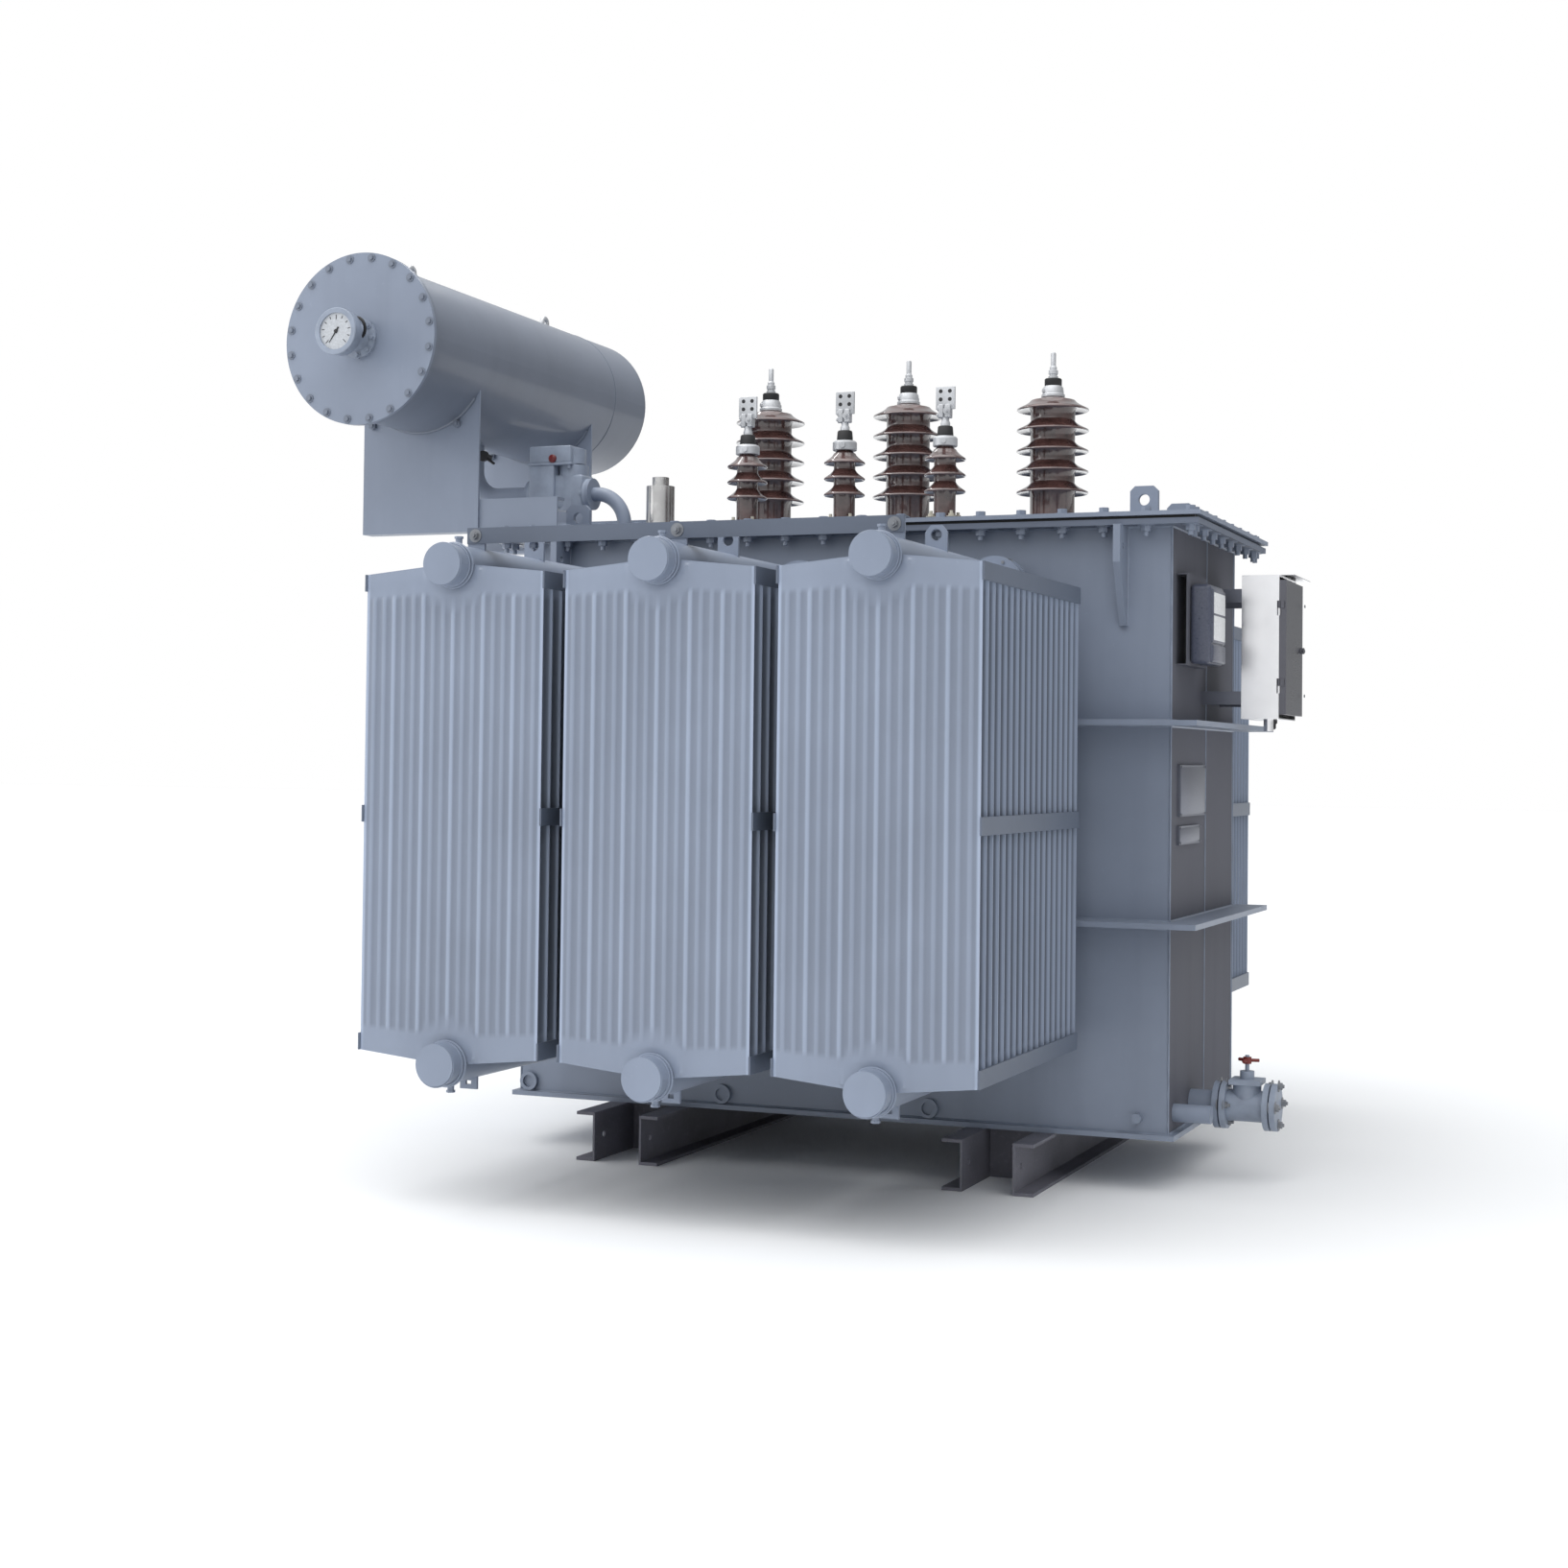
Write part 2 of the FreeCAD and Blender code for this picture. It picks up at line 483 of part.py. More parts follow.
def radiators():
    bands = []
    valves = []
    stubs = []
    for side, word in ((-1, "front"), (1, "back")):
        pipes = []
        for index in (1, 2, 3):
            fins(side, index, word)
            for top in (False, True):
                pipes.append(header(side, index, word, top))
                x = radiatorX(side, index)
                z = topHeader if top else lowHeader
                name = "%s%d%s" % (word, index, "Top" if top else "Low")
                axis = "y" if side > 0 else "-y"
                wall = "%d * tankWidth / 2" % side
                stub = cylinder("stub" + name, (x, wall, z), "headerRadius", "stubReach + flangeThick", axis)
                collar = cylinder("collar" + name, (x, wall + " + %d * stubReach" % side, z),
                                  "flangeRadius", "flangeThick", axis)
                stubs.append(fuse("wallStub" + name, [stub, collar]))
                valves.append(cylinder("valve" + name,
                                       (x, wall + " + %d * (stubReach + flangeThick)" % side, z),
                                       "valveRadius", "valveThick", axis))
            start = "tankWidth / 2 + finStart"
            near = "-(%s + %s)" % (start, stackDeep) if side < 0 else start
            for edge in (-1, 1):
                left = "%s + %d * finWide / 2" % (radiatorX(side, index), edge)
                if edge < 0:
                    left += " - bandThick"
                for level, low in (("Low", "0"), ("Mid", "bandMiddle"), ("Top", "finTall - bandTall")):
                    bands.append(box("band%s%d%s%s" % (word, index, "LR"[edge > 0], level),
                                     (left, near, finBase + " + " + low),
                                     ("bandThick", stackDeep, "bandTall")))
        node(group("headers" + word, pipes), "radiator_headers_" + word)
    node(group("radiatorBands", bands), "radiator_bands")
    node(group("radiatorValves", valves), "radiator_valves")
    node(group("wallStubs", stubs), "tank_stubs")

    # An angle bar on the lugs ties the three radiators of each bank together.
    bars = []
    for side, word in ((-1, "front"), (1, "back")):
        face = "%d * (tankWidth / 2 + lugPlace + lugThick / 2)" % side
        skin = face + (" - tieThick" if side < 0 else "")
        left = "%s - lugHalf" % radiatorX(side, 1)
        span = "2 * bankPitch + 2 * lugHalf"
        top = topHeader + " + lugAbove"
        bars.append(fuse("tieBar" + word, [
            box("tieSkin" + word, (left, skin, top + " + tieThick - tieTall"),
                (span, "tieThick", "tieTall")),
            box("tieLedge" + word,
                (left, face + (" - tieThick" if side < 0 else " - tieTall + tieThick"), top),
                (span, "tieTall", "tieThick"))]))
    node(group("tieBars", bars), "tie_bars")


# Conservator: a drum across the left end of the tank on two plates and two channel beams.

def conservator():
    length = "vesselBack - vesselFront - vesselPlate"
    inside = "vesselRadius - vesselWall"
    start = "vesselFront + vesselPlate"
    drum = cylinder("drum", ("vesselX", start, vesselZ), "vesselRadius", length, "y")
    land = cylinder("drumLand", ("vesselX", start, vesselZ), "vesselRadius + landOut", "vesselPlate", "y")
    hollow = cylinder("drumHollow", ("vesselX", start, vesselZ), inside, length + " - vesselWall", "y")
    node(cut("conservatorShell", fuse("drumOuter", [drum, land]), [hollow]), "conservator_shell")
    node(cylinder("conservatorCover", ("vesselX", "vesselFront", vesselZ), "vesselRadius + landOut",
                  "vesselPlate", "y"),
         "conservator_cover")

    # Each lifting eye is a plate with a round top and a foot cut to the drum.
    eyes = []
    eyeLeft = "vesselX - drumEyeThick / 2"
    eyeTop = "(%s + vesselRadius + drumEyeRise)" % vesselZ
    for spot, name in (("drumEyeFront", "eyeFrontPlate"), ("drumEyeBack", "eyeBackPlate")):
        near = spot + " - drumEyeHalf"
        foot = box(name + "Foot", (eyeLeft, near, vesselZ),
                   ("drumEyeThick", "2 * drumEyeHalf", "vesselRadius + drumEyeRise"))
        head = cylinder(name + "Head", (eyeLeft, spot, eyeTop), "drumEyeHalf", "drumEyeThick", "x")
        hole = cylinder(name + "Hole", (eyeLeft, spot, eyeTop), "drumEyeHole", "drumEyeThick", "x")
        saddle = cylinder(name + "Saddle", ("vesselX", near, vesselZ), "vesselRadius",
                          "2 * drumEyeHalf", "y")
        eyes.append(cut(name, fuse(name + "Blank", [foot, head]), [hole, saddle]))
    node(group("drumEyes", eyes), "drum_eyes")

    tip = "vesselAbove - sqrt(vesselRadius * vesselRadius - supportHalf * supportHalf)"
    outline = [("-supportHalf", "0"), ("supportHalf", "0"), ("supportHalf", tip), ("-supportHalf", tip)]
    supports = []
    for spot, name in (("supportFront", "supportFrontPlate"), ("supportBack", "supportBackPlate")):
        supports.append(plate(name, "XZ_Plane", outline, "supportThick",
                              ("vesselX", spot + " + supportThick", coverTop),
                              arcs={2: ("vesselRadius", -1, -1)}))
    node(group("supportPlates", supports), "conservator_supports")

    beams = []
    faces = (("beamFront", "supportFront + supportThick", 1), ("beamBack", "supportBack", -1))
    for name, face, side in faces:
        outline = channelOutline("beamTall", "beamFlange", "beamWeb", "channelLip", side)
        beams.append(plate(name, "YZ_Plane", outline, "beamEnd - vesselX + supportHalf",
                           ("vesselX - supportHalf", face, coverTop)))
    node(group("conservatorBeams", beams), "conservator_beams")

    face = "vesselFront"
    node(fuse("levelGauge", [
        cylinder("gaugeFlange", ("vesselX", face, vesselZ), "gaugeFoot", "gaugeFootThick", "-y"),
        cylinder("gaugeStem", ("vesselX", face, vesselZ), "gaugeNeck", "gaugeNeckReach + 1", "-y"),
        cylinder("gaugeBody", ("vesselX", face + " - gaugeNeckReach", vesselZ), "gaugeCase",
                 "gaugeCaseDepth", "-y")]), "level_gauge")


# Gas relay, the pipes on both sides of it and the pressure relief device on the cover.

def relay():
    mid = "relayY"
    body = [
        box("relayBlock",
            ("relayLeft + relayFlangeThick", mid + " - relayDeep / 2", relayZ + " - relayBody"),
            ("relayRight - relayLeft - 2 * relayFlangeThick", "relayDeep", "relayBody + relayHeadBase")),
        box("relayHead",
            ("relayLeft + relayFlangeThick", mid + " - relayHeadDeep / 2", relayZ + " + relayHeadBase"),
            ("relayHeadEnd - relayLeft - relayFlangeThick", "relayHeadDeep", "relayHeadTall")),
        cylinder("relayFlangeLeft", ("relayLeft", mid, relayZ), "relayFlange", "relayFlangeThick", "x"),
        cylinder("relayFlangeRight", ("relayRight - relayFlangeThick", mid, relayZ), "relayFlange",
                 "relayFlangeThick", "x"),
    ]
    node(fuse("gasRelay", body), "gas_relay")

    # The outlet pipe bends down into the cover, the inlet pipe bends up into the drum.
    upright = FreeCAD.Rotation(FreeCAD.Vector(1, 0, 0), 90)
    outlet = [
        cylinder("outletFlange", ("relayRight", mid, relayZ), "relayFlange", "relayFlangeThick", "x"),
        cylinder("outletRun", ("relayRight", mid, relayZ), "pipeRadius",
                 "relayFlangeThick + pipeStraight", "x"),
        bend("outletBend", ("relayRight + relayFlangeThick + pipeStraight", mid, relayZ + " - pipeBend"),
             "pipeBend", "pipeRadius", upright),
        cylinder("outletDrop", ("relayRight + relayFlangeThick + pipeStraight + pipeBend", mid, coverTop),
                 "pipeRadius", "relayAbove - pipeBend", "z"),
    ]
    inlet = [
        cylinder("inletFlange", ("relayLeft - relayFlangeThick", mid, relayZ), "relayFlange",
                 "relayFlangeThick", "x"),
        cylinder("inletRun", ("vesselX + inletBend", mid, relayZ), "inletRadius",
                 "relayLeft - vesselX - inletBend", "x"),
        bend("inletTurn", ("vesselX + inletBend", mid, relayZ + " + inletBend"), "inletBend", "inletRadius",
             FreeCAD.Rotation(FreeCAD.Vector(0, 1, 0), 180) * upright),
        cylinder("inletRise", ("vesselX", mid, relayZ + " + inletBend"), "inletRadius",
                 "vesselAbove - relayAbove - inletBend - sqrt(vesselRadius * vesselRadius"
                 " - inletRadius * inletRadius)", "z"),
    ]
    saddle = cylinder("inletSaddle", ("vesselX", mid + " - inletBend", vesselZ), "vesselRadius",
                      "2 * inletBend", "y")
    inletPipe = cut("inletPipe", fuse("inlet", inlet), [saddle])
    node(group("relayPipes", [fuse("outlet", outlet), inletPipe]), "relay_pipes")

    outline = [("0", "0"), ("reliefRadius", "0"), ("reliefRadius", "reliefRingUp"),
               ("reliefRing", "reliefRingUp"),
               ("reliefRing", "reliefRingUp + reliefRingTall"),
               ("reliefRadius", "reliefRingUp + reliefRingTall"),
               ("reliefRadius", "reliefTall"), ("reliefTop", "reliefTall"),
               ("reliefTop", "reliefTall + reliefTopTall"), ("0", "reliefTall + reliefTopTall")]
    node(turned("pressureRelief", outline, ("reliefX", "relayY", coverTop)), "pressure_relief")


# Bushings: ribbed porcelain with a metal head. The low-voltage heads end in flat flags.

def porcelain(name, kind, corner):
    body = kind + "Body"
    tip = kind + "Shed"
    outline = [("0", "0"), (body, "0")]
    for shed in range(sizes[kind + "ShedCount"]):
        level = "%sFirstShed + %d * %sShedPitch" % (kind, shed, kind)
        outline += [(body, level + " + shedDrop"), (tip, level), (tip, level + " + shedLip"),
                    (body, level + " + shedRise")]
    outline += [(body, kind + "Porcelain - " + kind + "Body * 0.2"), (kind + "Neck", kind + "Porcelain"),
                ("0", kind + "Porcelain")]
    return turned(name, outline, corner)


def stack(name, corner, steps):
    """Discs on one axis from the bottom up, as one turned piece."""
    outline = [("0", "0")]
    level = "0"
    for radius, tall in steps:
        outline.append((radius, level))
        level = level + " + " + tall
        outline.append((radius, level))
    outline.append(("0", level))
    return turned(name, outline, corner), level


def bushings():
    highs = []
    heads = []
    for step in (-1, 0, 1):
        letter = "abc"[step + 1]
        corner = ("highX + %d * highPitch" % step, "highY", coverTop)
        highs.append(porcelain("highBushing" + letter, "high", corner))
        crown = (corner[0], corner[1], coverTop + " + highPorcelain")
        heads.append(stack("highHead" + letter, crown,
                           [("highCap", "highCapTall"), ("highRing", "highRingTall"),
                            ("highStud", "highStudTall"), ("highRod", "highRodTall")])[0])
    node(group("highPorcelains", highs), "hv_porcelains")
    node(group("highHeads", heads), "hv_terminals")

    lows = []
    heads = []
    for step in (-1, 0, 1):
        letter = "abc"[step + 1]
        corner = ("lowX + %d * lowPitch" % step, "lowY", coverTop)
        lows.append(porcelain("lowBushing" + letter, "low", corner))
        base = coverTop + " + lowPorcelain"
        head, top = stack("lowHead" + letter, (corner[0], corner[1], base),
                          [("lowCap", "lowCapTall"), ("lowRing", "lowRingTall"), ("lowStud", "lowStudTall")])
        clampLow = base + " + " + top
        clamp = box("clamp" + letter, (corner[0] + " - clampHalf", "lowY - clampDeep / 2", clampLow),
                    ("2 * clampHalf", "clampDeep", "clampTall"))
        flagLow = clampLow + " + clampTall - flagSink"
        holes = [("%d * flagHoleX" % x, "(flagTall + flagSink) / 2 + %d * flagHoleZ" % z, "flagHole")
                 for x in (-1, 1) for z in (-1, 1)]
        outline = [("-flagHalf", "0"), ("flagHalf", "0"), ("flagHalf", "flagTall"),
                   ("-flagHalf", "flagTall")]
        flag = plate("flag" + letter, "XZ_Plane", outline, "flagThick",
                     (corner[0], "lowY + flagThick / 2", flagLow), holes=holes)
        heads.append(fuse("lowTerminal" + letter, [head, clamp, flag]))
    node(group("lowPorcelains", lows), "lv_porcelains")
    node(group("lowHeads", heads), "lv_terminals")


# Control cabinet on four arms, with a hinged door, and the instruments beside it.

def cabinet():
    shell = box("cabinetShell", (cabinetBack, "cabinetY", cabinetBase),
                ("cabinetDeep", "cabinetWide", "cabinetTall"))
    hollow = box("cabinetHollow", (cabinetBack + " + cabinetSheet", "cabinetY + cabinetSheet",
                                   cabinetBase + " + cabinetSheet"),
                 ("cabinetDeep", "cabinetWide - 2 * cabinetSheet", "cabinetTall - 2 * cabinetSheet"))
    roof = box("cabinetRoof", (cabinetBack, "cabinetY - roofThick", cabinetBase + " + cabinetTall"),
               ("cabinetDeep + roofOver", "cabinetWide + 2 * roofThick", "roofThick"))
    gland = cylinder("cabinetGland", (cabinetBack + " + cabinetDeep * 0.62", "cabinetY + cabinetWide * 0.25",
                                      cabinetBase + " - glandReach"), "glandRadius", "glandReach + 1", "z")
    doorLow = cabinetBase + " + doorInset"
    doorTall = "cabinetTall - 2 * doorInset"
    hingeX = cabinetFace + " + doorGap / 2"
    hingeY = "cabinetY - hingeOut"
    bodyPieces = [cut("cabinetCase", shell, [hollow]), roof, gland]
    doorShell = box("doorShell", (cabinetFace + " + doorGap", "cabinetY", doorLow),
                    ("doorDeep", "cabinetWide", doorTall))
    doorHollow = box("doorHollow", (cabinetFace, "cabinetY + cabinetSheet", doorLow + " + cabinetSheet"),
                     ("doorDeep + doorGap - cabinetSheet", "cabinetWide - 2 * cabinetSheet",
                      doorTall + " - 2 * cabinetSheet"))
    doorPieces = [cut("doorPan", doorShell, [doorHollow])]
    for letter, level in (("a", doorLow + " + hingeInset"),
                          ("b", doorLow + " + " + doorTall + " - hingeInset - hingeTall")):
        half = "hingeTall / 2"
        bodyPieces.append(cylinder("knuckleLow" + letter, (hingeX, hingeY, level), "hingeRadius",
                                   half + " - wheelPlay", "z"))
        bodyPieces.append(box("leafLow" + letter, (hingeX + " - leafReach", hingeY, level),
                              ("leafReach", "hingeOut", half + " - wheelPlay")))
        doorPieces.append(cylinder("knuckleTop" + letter, (hingeX, hingeY, level + " + " + half),
                                   "hingeRadius", half, "z"))
        doorPieces.append(box("leafTop" + letter,
                              (hingeX + " + hingeRadius * 0.5", hingeY, level + " + " + half),
                              ("leafReach - hingeRadius", "hingeOut", half)))
    doorPieces.append(cylinder("doorLock", (cabinetFace + " + doorGap + doorDeep",
                                            "cabinetY + cabinetWide - lockInset",
                                            cabinetBase + " + cabinetTall / 2"),
                               "lockRadius", "lockReach", "x"))
    node(fuse("cabinetBody", bodyPieces), "cabinet_body")
    node(fuse("cabinetDoor", doorPieces), "cabinet_door")

    arms = []
    for level in ("armLow", "armHigh"):
        for y, letter in (("cabinetY", "a"), ("cabinetY + cabinetWide - armThick", "b")):
            arms.append(box(level + letter, (endWall, y, cabinetBase + " + " + level + " - armTall / 2"),
                            ("cabinetStand", "armThick", "armTall")))
    node(group("cabinetArms", arms), "cabinet_arms")


def instruments():
    low = "channelHeight + baseThick + wallHeight - bracketDrop"
    bracket = fuse("thermometerBracket", [
        box("bracketWeb", (endWall + " + bracketStand", "bracketY", low),
            ("bracketSheet", "bracketWide", "bracketTall")),
        box("bracketFoot", (endWall, "bracketY", low), ("bracketStand + 1", "bracketWide", "bracketSheet")),
        box("bracketBrow", (endWall, "bracketY", low + " + bracketTall - bracketSheet"),
            ("bracketStand + 1", "bracketWide", "bracketSheet"))])
    node(bracket, "thermometer_bracket")
    node(box("thermometerHousing", (endWall + " + bracketStand + bracketSheet", "dialY",
                                    "channelHeight + baseThick + wallHeight - dialDrop"),
                                    ("dialDeep", "dialWide", "dialTall")),
         "thermometer_housing")
    node(group("ratingPlates", [
        box("ratingPlate", (endWall, "plateY", "channelHeight + plateLow"),
            ("plateThick", "plateWide", "plateTall")),
        box("smallPlate", (endWall, "smallY", "channelHeight + smallLow"),
            ("plateThick", "smallWide", "smallTall"))]), "rating_plates")


# Drain valve with its handwheel, and a plugged stub beside it.

def drain():
    pipe = fuse("drainPipeWelded", [
        cylinder("drainTube", (endWall, "drainY", drainZ), "drainPipe", "drainReach", "x"),
        cylinder("drainTubeFlange", (endWall + " + drainReach - drainFlangeThick", "drainY", drainZ),
                 "drainFlange", "drainFlangeThick", "x")])
    stub = cylinder("pluggedStub", (endWall, "stubY", drainZ), "stubRadius", "stubLong", "x")
    node(group("drainPipes", [pipe, stub]), "drain_pipes")

    start = endWall + " + drainReach"
    far = start + " + drainSeal + drainLength"
    valve = fuse("drainValve", [
        cylinder("valveSealA", (start, "drainY", drainZ), "drainSealRadius", "drainSeal + 1", "x"),
        cylinder("valveFlangeA", (start + " + drainSeal", "drainY", drainZ), "drainFlange",
                 "drainFlangeThick", "x"),
        cylinder("valveBarrel", (start + " + drainSeal", "drainY", drainZ), "drainBody", "drainLength", "x"),
        cylinder("valveFlangeB", (far + " - drainFlangeThick", "drainY", drainZ), "drainFlange",
                 "drainFlangeThick", "x"),
        cylinder("valveSealB", (far, "drainY", drainZ), "drainSealRadius", "drainSeal", "x"),
        cylinder("valveBlank", (far + " + drainSeal", "drainY", drainZ), "drainFlange",
                 "drainFlangeThick", "x"),
        cylinder("valveChimney", (wheelX, "drainY", drainZ), "drainBody * 0.9", "bonnetUp", "z"),
        box("valveBonnet", (wheelX + " - bonnetHalf", "drainY - bonnetHalf", drainZ + " + bonnetUp"),
            ("2 * bonnetHalf", "2 * bonnetHalf", "bonnetThick")),
        cylinder("valveDome", (wheelX, "drainY", drainZ + " + bonnetUp"), "domeRadius",
                 "bonnetThick + domeTall", "z"),
        cylinder("valveStem", (wheelX, "drainY", drainZ), "stemRadius", "stemTop", "z")])
    node(valve, "drain_valve")

    wheel = turned("wheelRing",
                   [("wheelRadius - wheelLobe", "0"), ("wheelRadius - wheelLobe + wheelRim", "0"),
                                 ("wheelRadius - wheelLobe + wheelRim", "wheelTall"),
                                 ("wheelRadius - wheelLobe", "wheelTall")],
                   (wheelX, "drainY", drainZ + " + wheelUp"))
    hub = turned("wheelBoss",
                 [("stemRadius + wheelPlay", "-2"), ("wheelHub", "-2"), ("wheelHub", "wheelTall"),
                               ("stemRadius + wheelPlay", "wheelTall")],
                               (wheelX, "drainY", drainZ + " + wheelUp"))
    pieces = [wheel, hub]
    for lobe in range(sizes["wheelLobes"]):
        angle = 360.0 * lobe / sizes["wheelLobes"]
        reach = "(wheelRadius - wheelLobe)"
        centre = ("%s + %s * cos(%g)" % (wheelX, reach, angle), "drainY + %s * sin(%g)" % (reach, angle),
                  drainZ + " + wheelUp")
        pieces.append(cylinder("lobe%d" % lobe, centre, "wheelLobe", "wheelTall", "z"))
    for spoke in range(3):
        angle = math.radians(120.0 * spoke)
        bar = box("spoke%d" % spoke, (wheelX, "drainY", drainZ + " + wheelUp + 3"),
                  ("wheelRadius - wheelLobe - wheelHub + 4", "2 * spokeHalf", "wheelTall - 8"))
        bar.Placement = FreeCAD.Placement(bar.Placement.Base, FreeCAD.Rotation(FreeCAD.Vector(0, 0, 1),
                                                                               120.0 * spoke))
        bar.setExpression(".Placement.Base.x", bound("%s + (wheelHub - 2) * %.6f + spokeHalf * %.6f" % (
            wheelX, math.cos(angle), math.sin(angle))))
        bar.setExpression(".Placement.Base.y", bound("drainY + (wheelHub - 2) * %.6f - spokeHalf * %.6f" % (
            math.sin(angle), math.cos(angle))))
        pieces.append(bar)
    node(fuse("drainHandwheel", pieces), "drain_handwheel")


baseFrame()
tank()
radiators()
conservator()
relay()
bushings()
cabinet()
instruments()
drain()
doc.recompute()

faults = [thing.Label for thing in doc.Objects if {"Invalid", "Error"} & set(thing.State)]
for thing in nodes:
    if thing.Shape.isNull() or not thing.Shape.isValid() or not thing.Shape.Solids:
        faults.append(thing.Label)
if faults:
    raise SystemExit("These pieces failed: " + ", ".join(faults))

os.makedirs("parts", exist_ok=True)
for thing in nodes:
    thing.Shape.exportStep("parts/%s.step" % thing.Label)
    span = thing.Shape.BoundBox
    print("%-26s %2d solids %9.0f cm3  x %.0f..%.0f y %.0f..%.0f z %.0f..%.0f" % (
        thing.Label, len(thing.Shape.Solids), thing.Shape.Volume / 1000,
        span.XMin, span.XMax, span.YMin, span.YMax, span.ZMin, span.ZMax))
print(len(nodes), "nodes")
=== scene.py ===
import math

import bmesh
import bpy
from mathutils import Matrix, Vector


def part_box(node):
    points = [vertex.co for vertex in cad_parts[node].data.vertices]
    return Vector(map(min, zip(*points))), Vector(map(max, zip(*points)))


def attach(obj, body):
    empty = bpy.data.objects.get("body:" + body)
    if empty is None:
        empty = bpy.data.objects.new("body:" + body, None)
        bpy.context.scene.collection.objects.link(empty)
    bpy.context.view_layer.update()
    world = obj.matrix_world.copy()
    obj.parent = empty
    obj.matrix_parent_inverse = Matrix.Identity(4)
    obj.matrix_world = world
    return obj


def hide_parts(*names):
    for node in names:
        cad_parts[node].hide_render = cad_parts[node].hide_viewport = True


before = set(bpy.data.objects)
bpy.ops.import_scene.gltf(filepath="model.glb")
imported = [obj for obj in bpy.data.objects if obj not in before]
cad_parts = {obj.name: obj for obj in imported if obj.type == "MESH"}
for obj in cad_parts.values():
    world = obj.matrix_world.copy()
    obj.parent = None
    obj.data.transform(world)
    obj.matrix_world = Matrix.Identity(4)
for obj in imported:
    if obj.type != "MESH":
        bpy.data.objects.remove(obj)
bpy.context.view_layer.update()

along = {"x": Vector((1, 0, 0)), "y": Vector((0, 1, 0)), "z": Vector((0, 0, 1))}


# Shader sockets that take part in arithmetic.
class Signal:
    def __init__(self, finish, socket):
        self.finish = finish
        self.socket = socket

    def math(self, operation, first, second):
        return self.finish.node("ShaderNodeMath", {"operation": operation}, {0: first, 1: second})

    def __add__(self, other):
        return self.math("ADD", self, other)

    def __radd__(self, other):
        return self.math("ADD", other, self)

    def __sub__(self, other):
        return self.math("SUBTRACT", self, other)

    def __rsub__(self, other):
        return self.math("SUBTRACT", other, self)

    def __mul__(self, other):
        return self.math("MULTIPLY", self, other)

    def __rmul__(self, other):
        return self.math("MULTIPLY", other, self)


# One material with its Principled shader.
class Finish:
    def __init__(self, name, **fixed):
        self.material = bpy.data.materials.new(name)
        self.material.use_nodes = True
        self.tree = self.material.node_tree
        self.shader = self.tree.nodes["Principled BSDF"]
        for key, value in fixed.items():
            self.shader.inputs[key.replace("_", " ")].default_value = value
        self.place = self.node("ShaderNodeTexCoord", out="Object")

    def node(self, kind, settings=None, values=None, out=0):
        made = self.tree.nodes.new(kind)
        for key, value in (settings or {}).items():
            setattr(made, key, value)
        for key, value in (values or {}).items():
            self.feed(made.inputs[key], value)
        return Signal(self, made.outputs[out])

    def feed(self, socket, value):
        if isinstance(value, Signal):
            self.tree.links.new(value.socket, socket)
        else:
            socket.default_value = value

    def stretched(self, scale):
        return self.node("ShaderNodeMapping", {}, {"Vector": self.place, "Scale": scale})

    def noise(self, scale, detail=3.0, vector=None):
        return self.node("ShaderNodeTexNoise", {}, {"Vector": vector or self.place, "Scale": scale,
                                                    "Detail": detail, "Roughness": 0.55})

    def painted(self, name):
        return self.node("ShaderNodeAttribute", {"attribute_name": name}, out="Fac")

    def ramp(self, value, low, high):
        limits = {"Value": value, 1: low, 2: high, 3: 0.0, 4: 1.0}
        return self.node("ShaderNodeMapRange", {"clamp": True}, limits)

    def mix(self, factor, first, second):
        return self.node("ShaderNodeMix", {"data_type": "RGBA"}, {0: factor, 6: first, 7: second}, out=2)

    def paintOn(self, colour=None, rough=None, height=None, depth=0.001, strength=0.4):
        if colour is not None:
            self.feed(self.shader.inputs["Base Color"], colour)
        if rough is not None:
            self.feed(self.shader.inputs["Roughness"], rough)
        if height is not None:
            relief = {"Height": height, "Strength": strength, "Distance": depth}
            self.feed(self.shader.inputs["Normal"], self.node("ShaderNodeBump", {}, relief))
        return self.material


def shade(colour, factor):
    return tuple(min(1.0, part * factor) for part in colour) + (1.0,)


# Sprayed enamel: orange peel, faint runs and a little dust. An attribute darkens it where it is
# above zero, partly as grime and partly as painted shade, and lightens it below zero as a painted
# highlight.
def enamel(name, tone, rough=0.42, dirt=0.25, coat=0.12, grimeShadeHighlightLayer=None, gloss=0.5, film=0.3):
    paint = Finish(name, Coat_Weight=coat, Coat_Roughness=film, Specular_IOR_Level=gloss)
    cloud = paint.noise(2.3, 4.0)
    runs = paint.noise(9.0, 3.0, paint.stretched((1.0, 1.0, 0.12)))
    speck = paint.noise(70.0, 2.0)
    body = paint.mix(paint.ramp(cloud, 0.35, 0.68), shade(tone, 0.93), shade(tone, 1.07))
    dusty = paint.ramp(runs, 0.52, 0.8) * dirt
    body = paint.mix(dusty, body, shade(tone, 0.72))
    body = paint.mix(paint.ramp(speck, 0.68, 0.8) * 0.22, body, shade(tone, 1.3))
    if grimeShadeHighlightLayer:
        grimeShadeHighlight = paint.painted(grimeShadeHighlightLayer)
        # above zero: grime and painted shade; below zero: painted highlight
        body = paint.mix(paint.ramp(grimeShadeHighlight, 0.0, 1.0), body, shade(tone, 0.30))
        body = paint.mix(paint.ramp(grimeShadeHighlight, 0.0, -1.0), body, shade(tone, 1.65))
    peel = paint.noise(330.0, 1.0) * 0.5 + paint.noise(26.0, 2.0) * 0.6
    return paint.paintOn(body, rough + (cloud - 0.5) * 0.22, peel, 0.0008, 0.3)


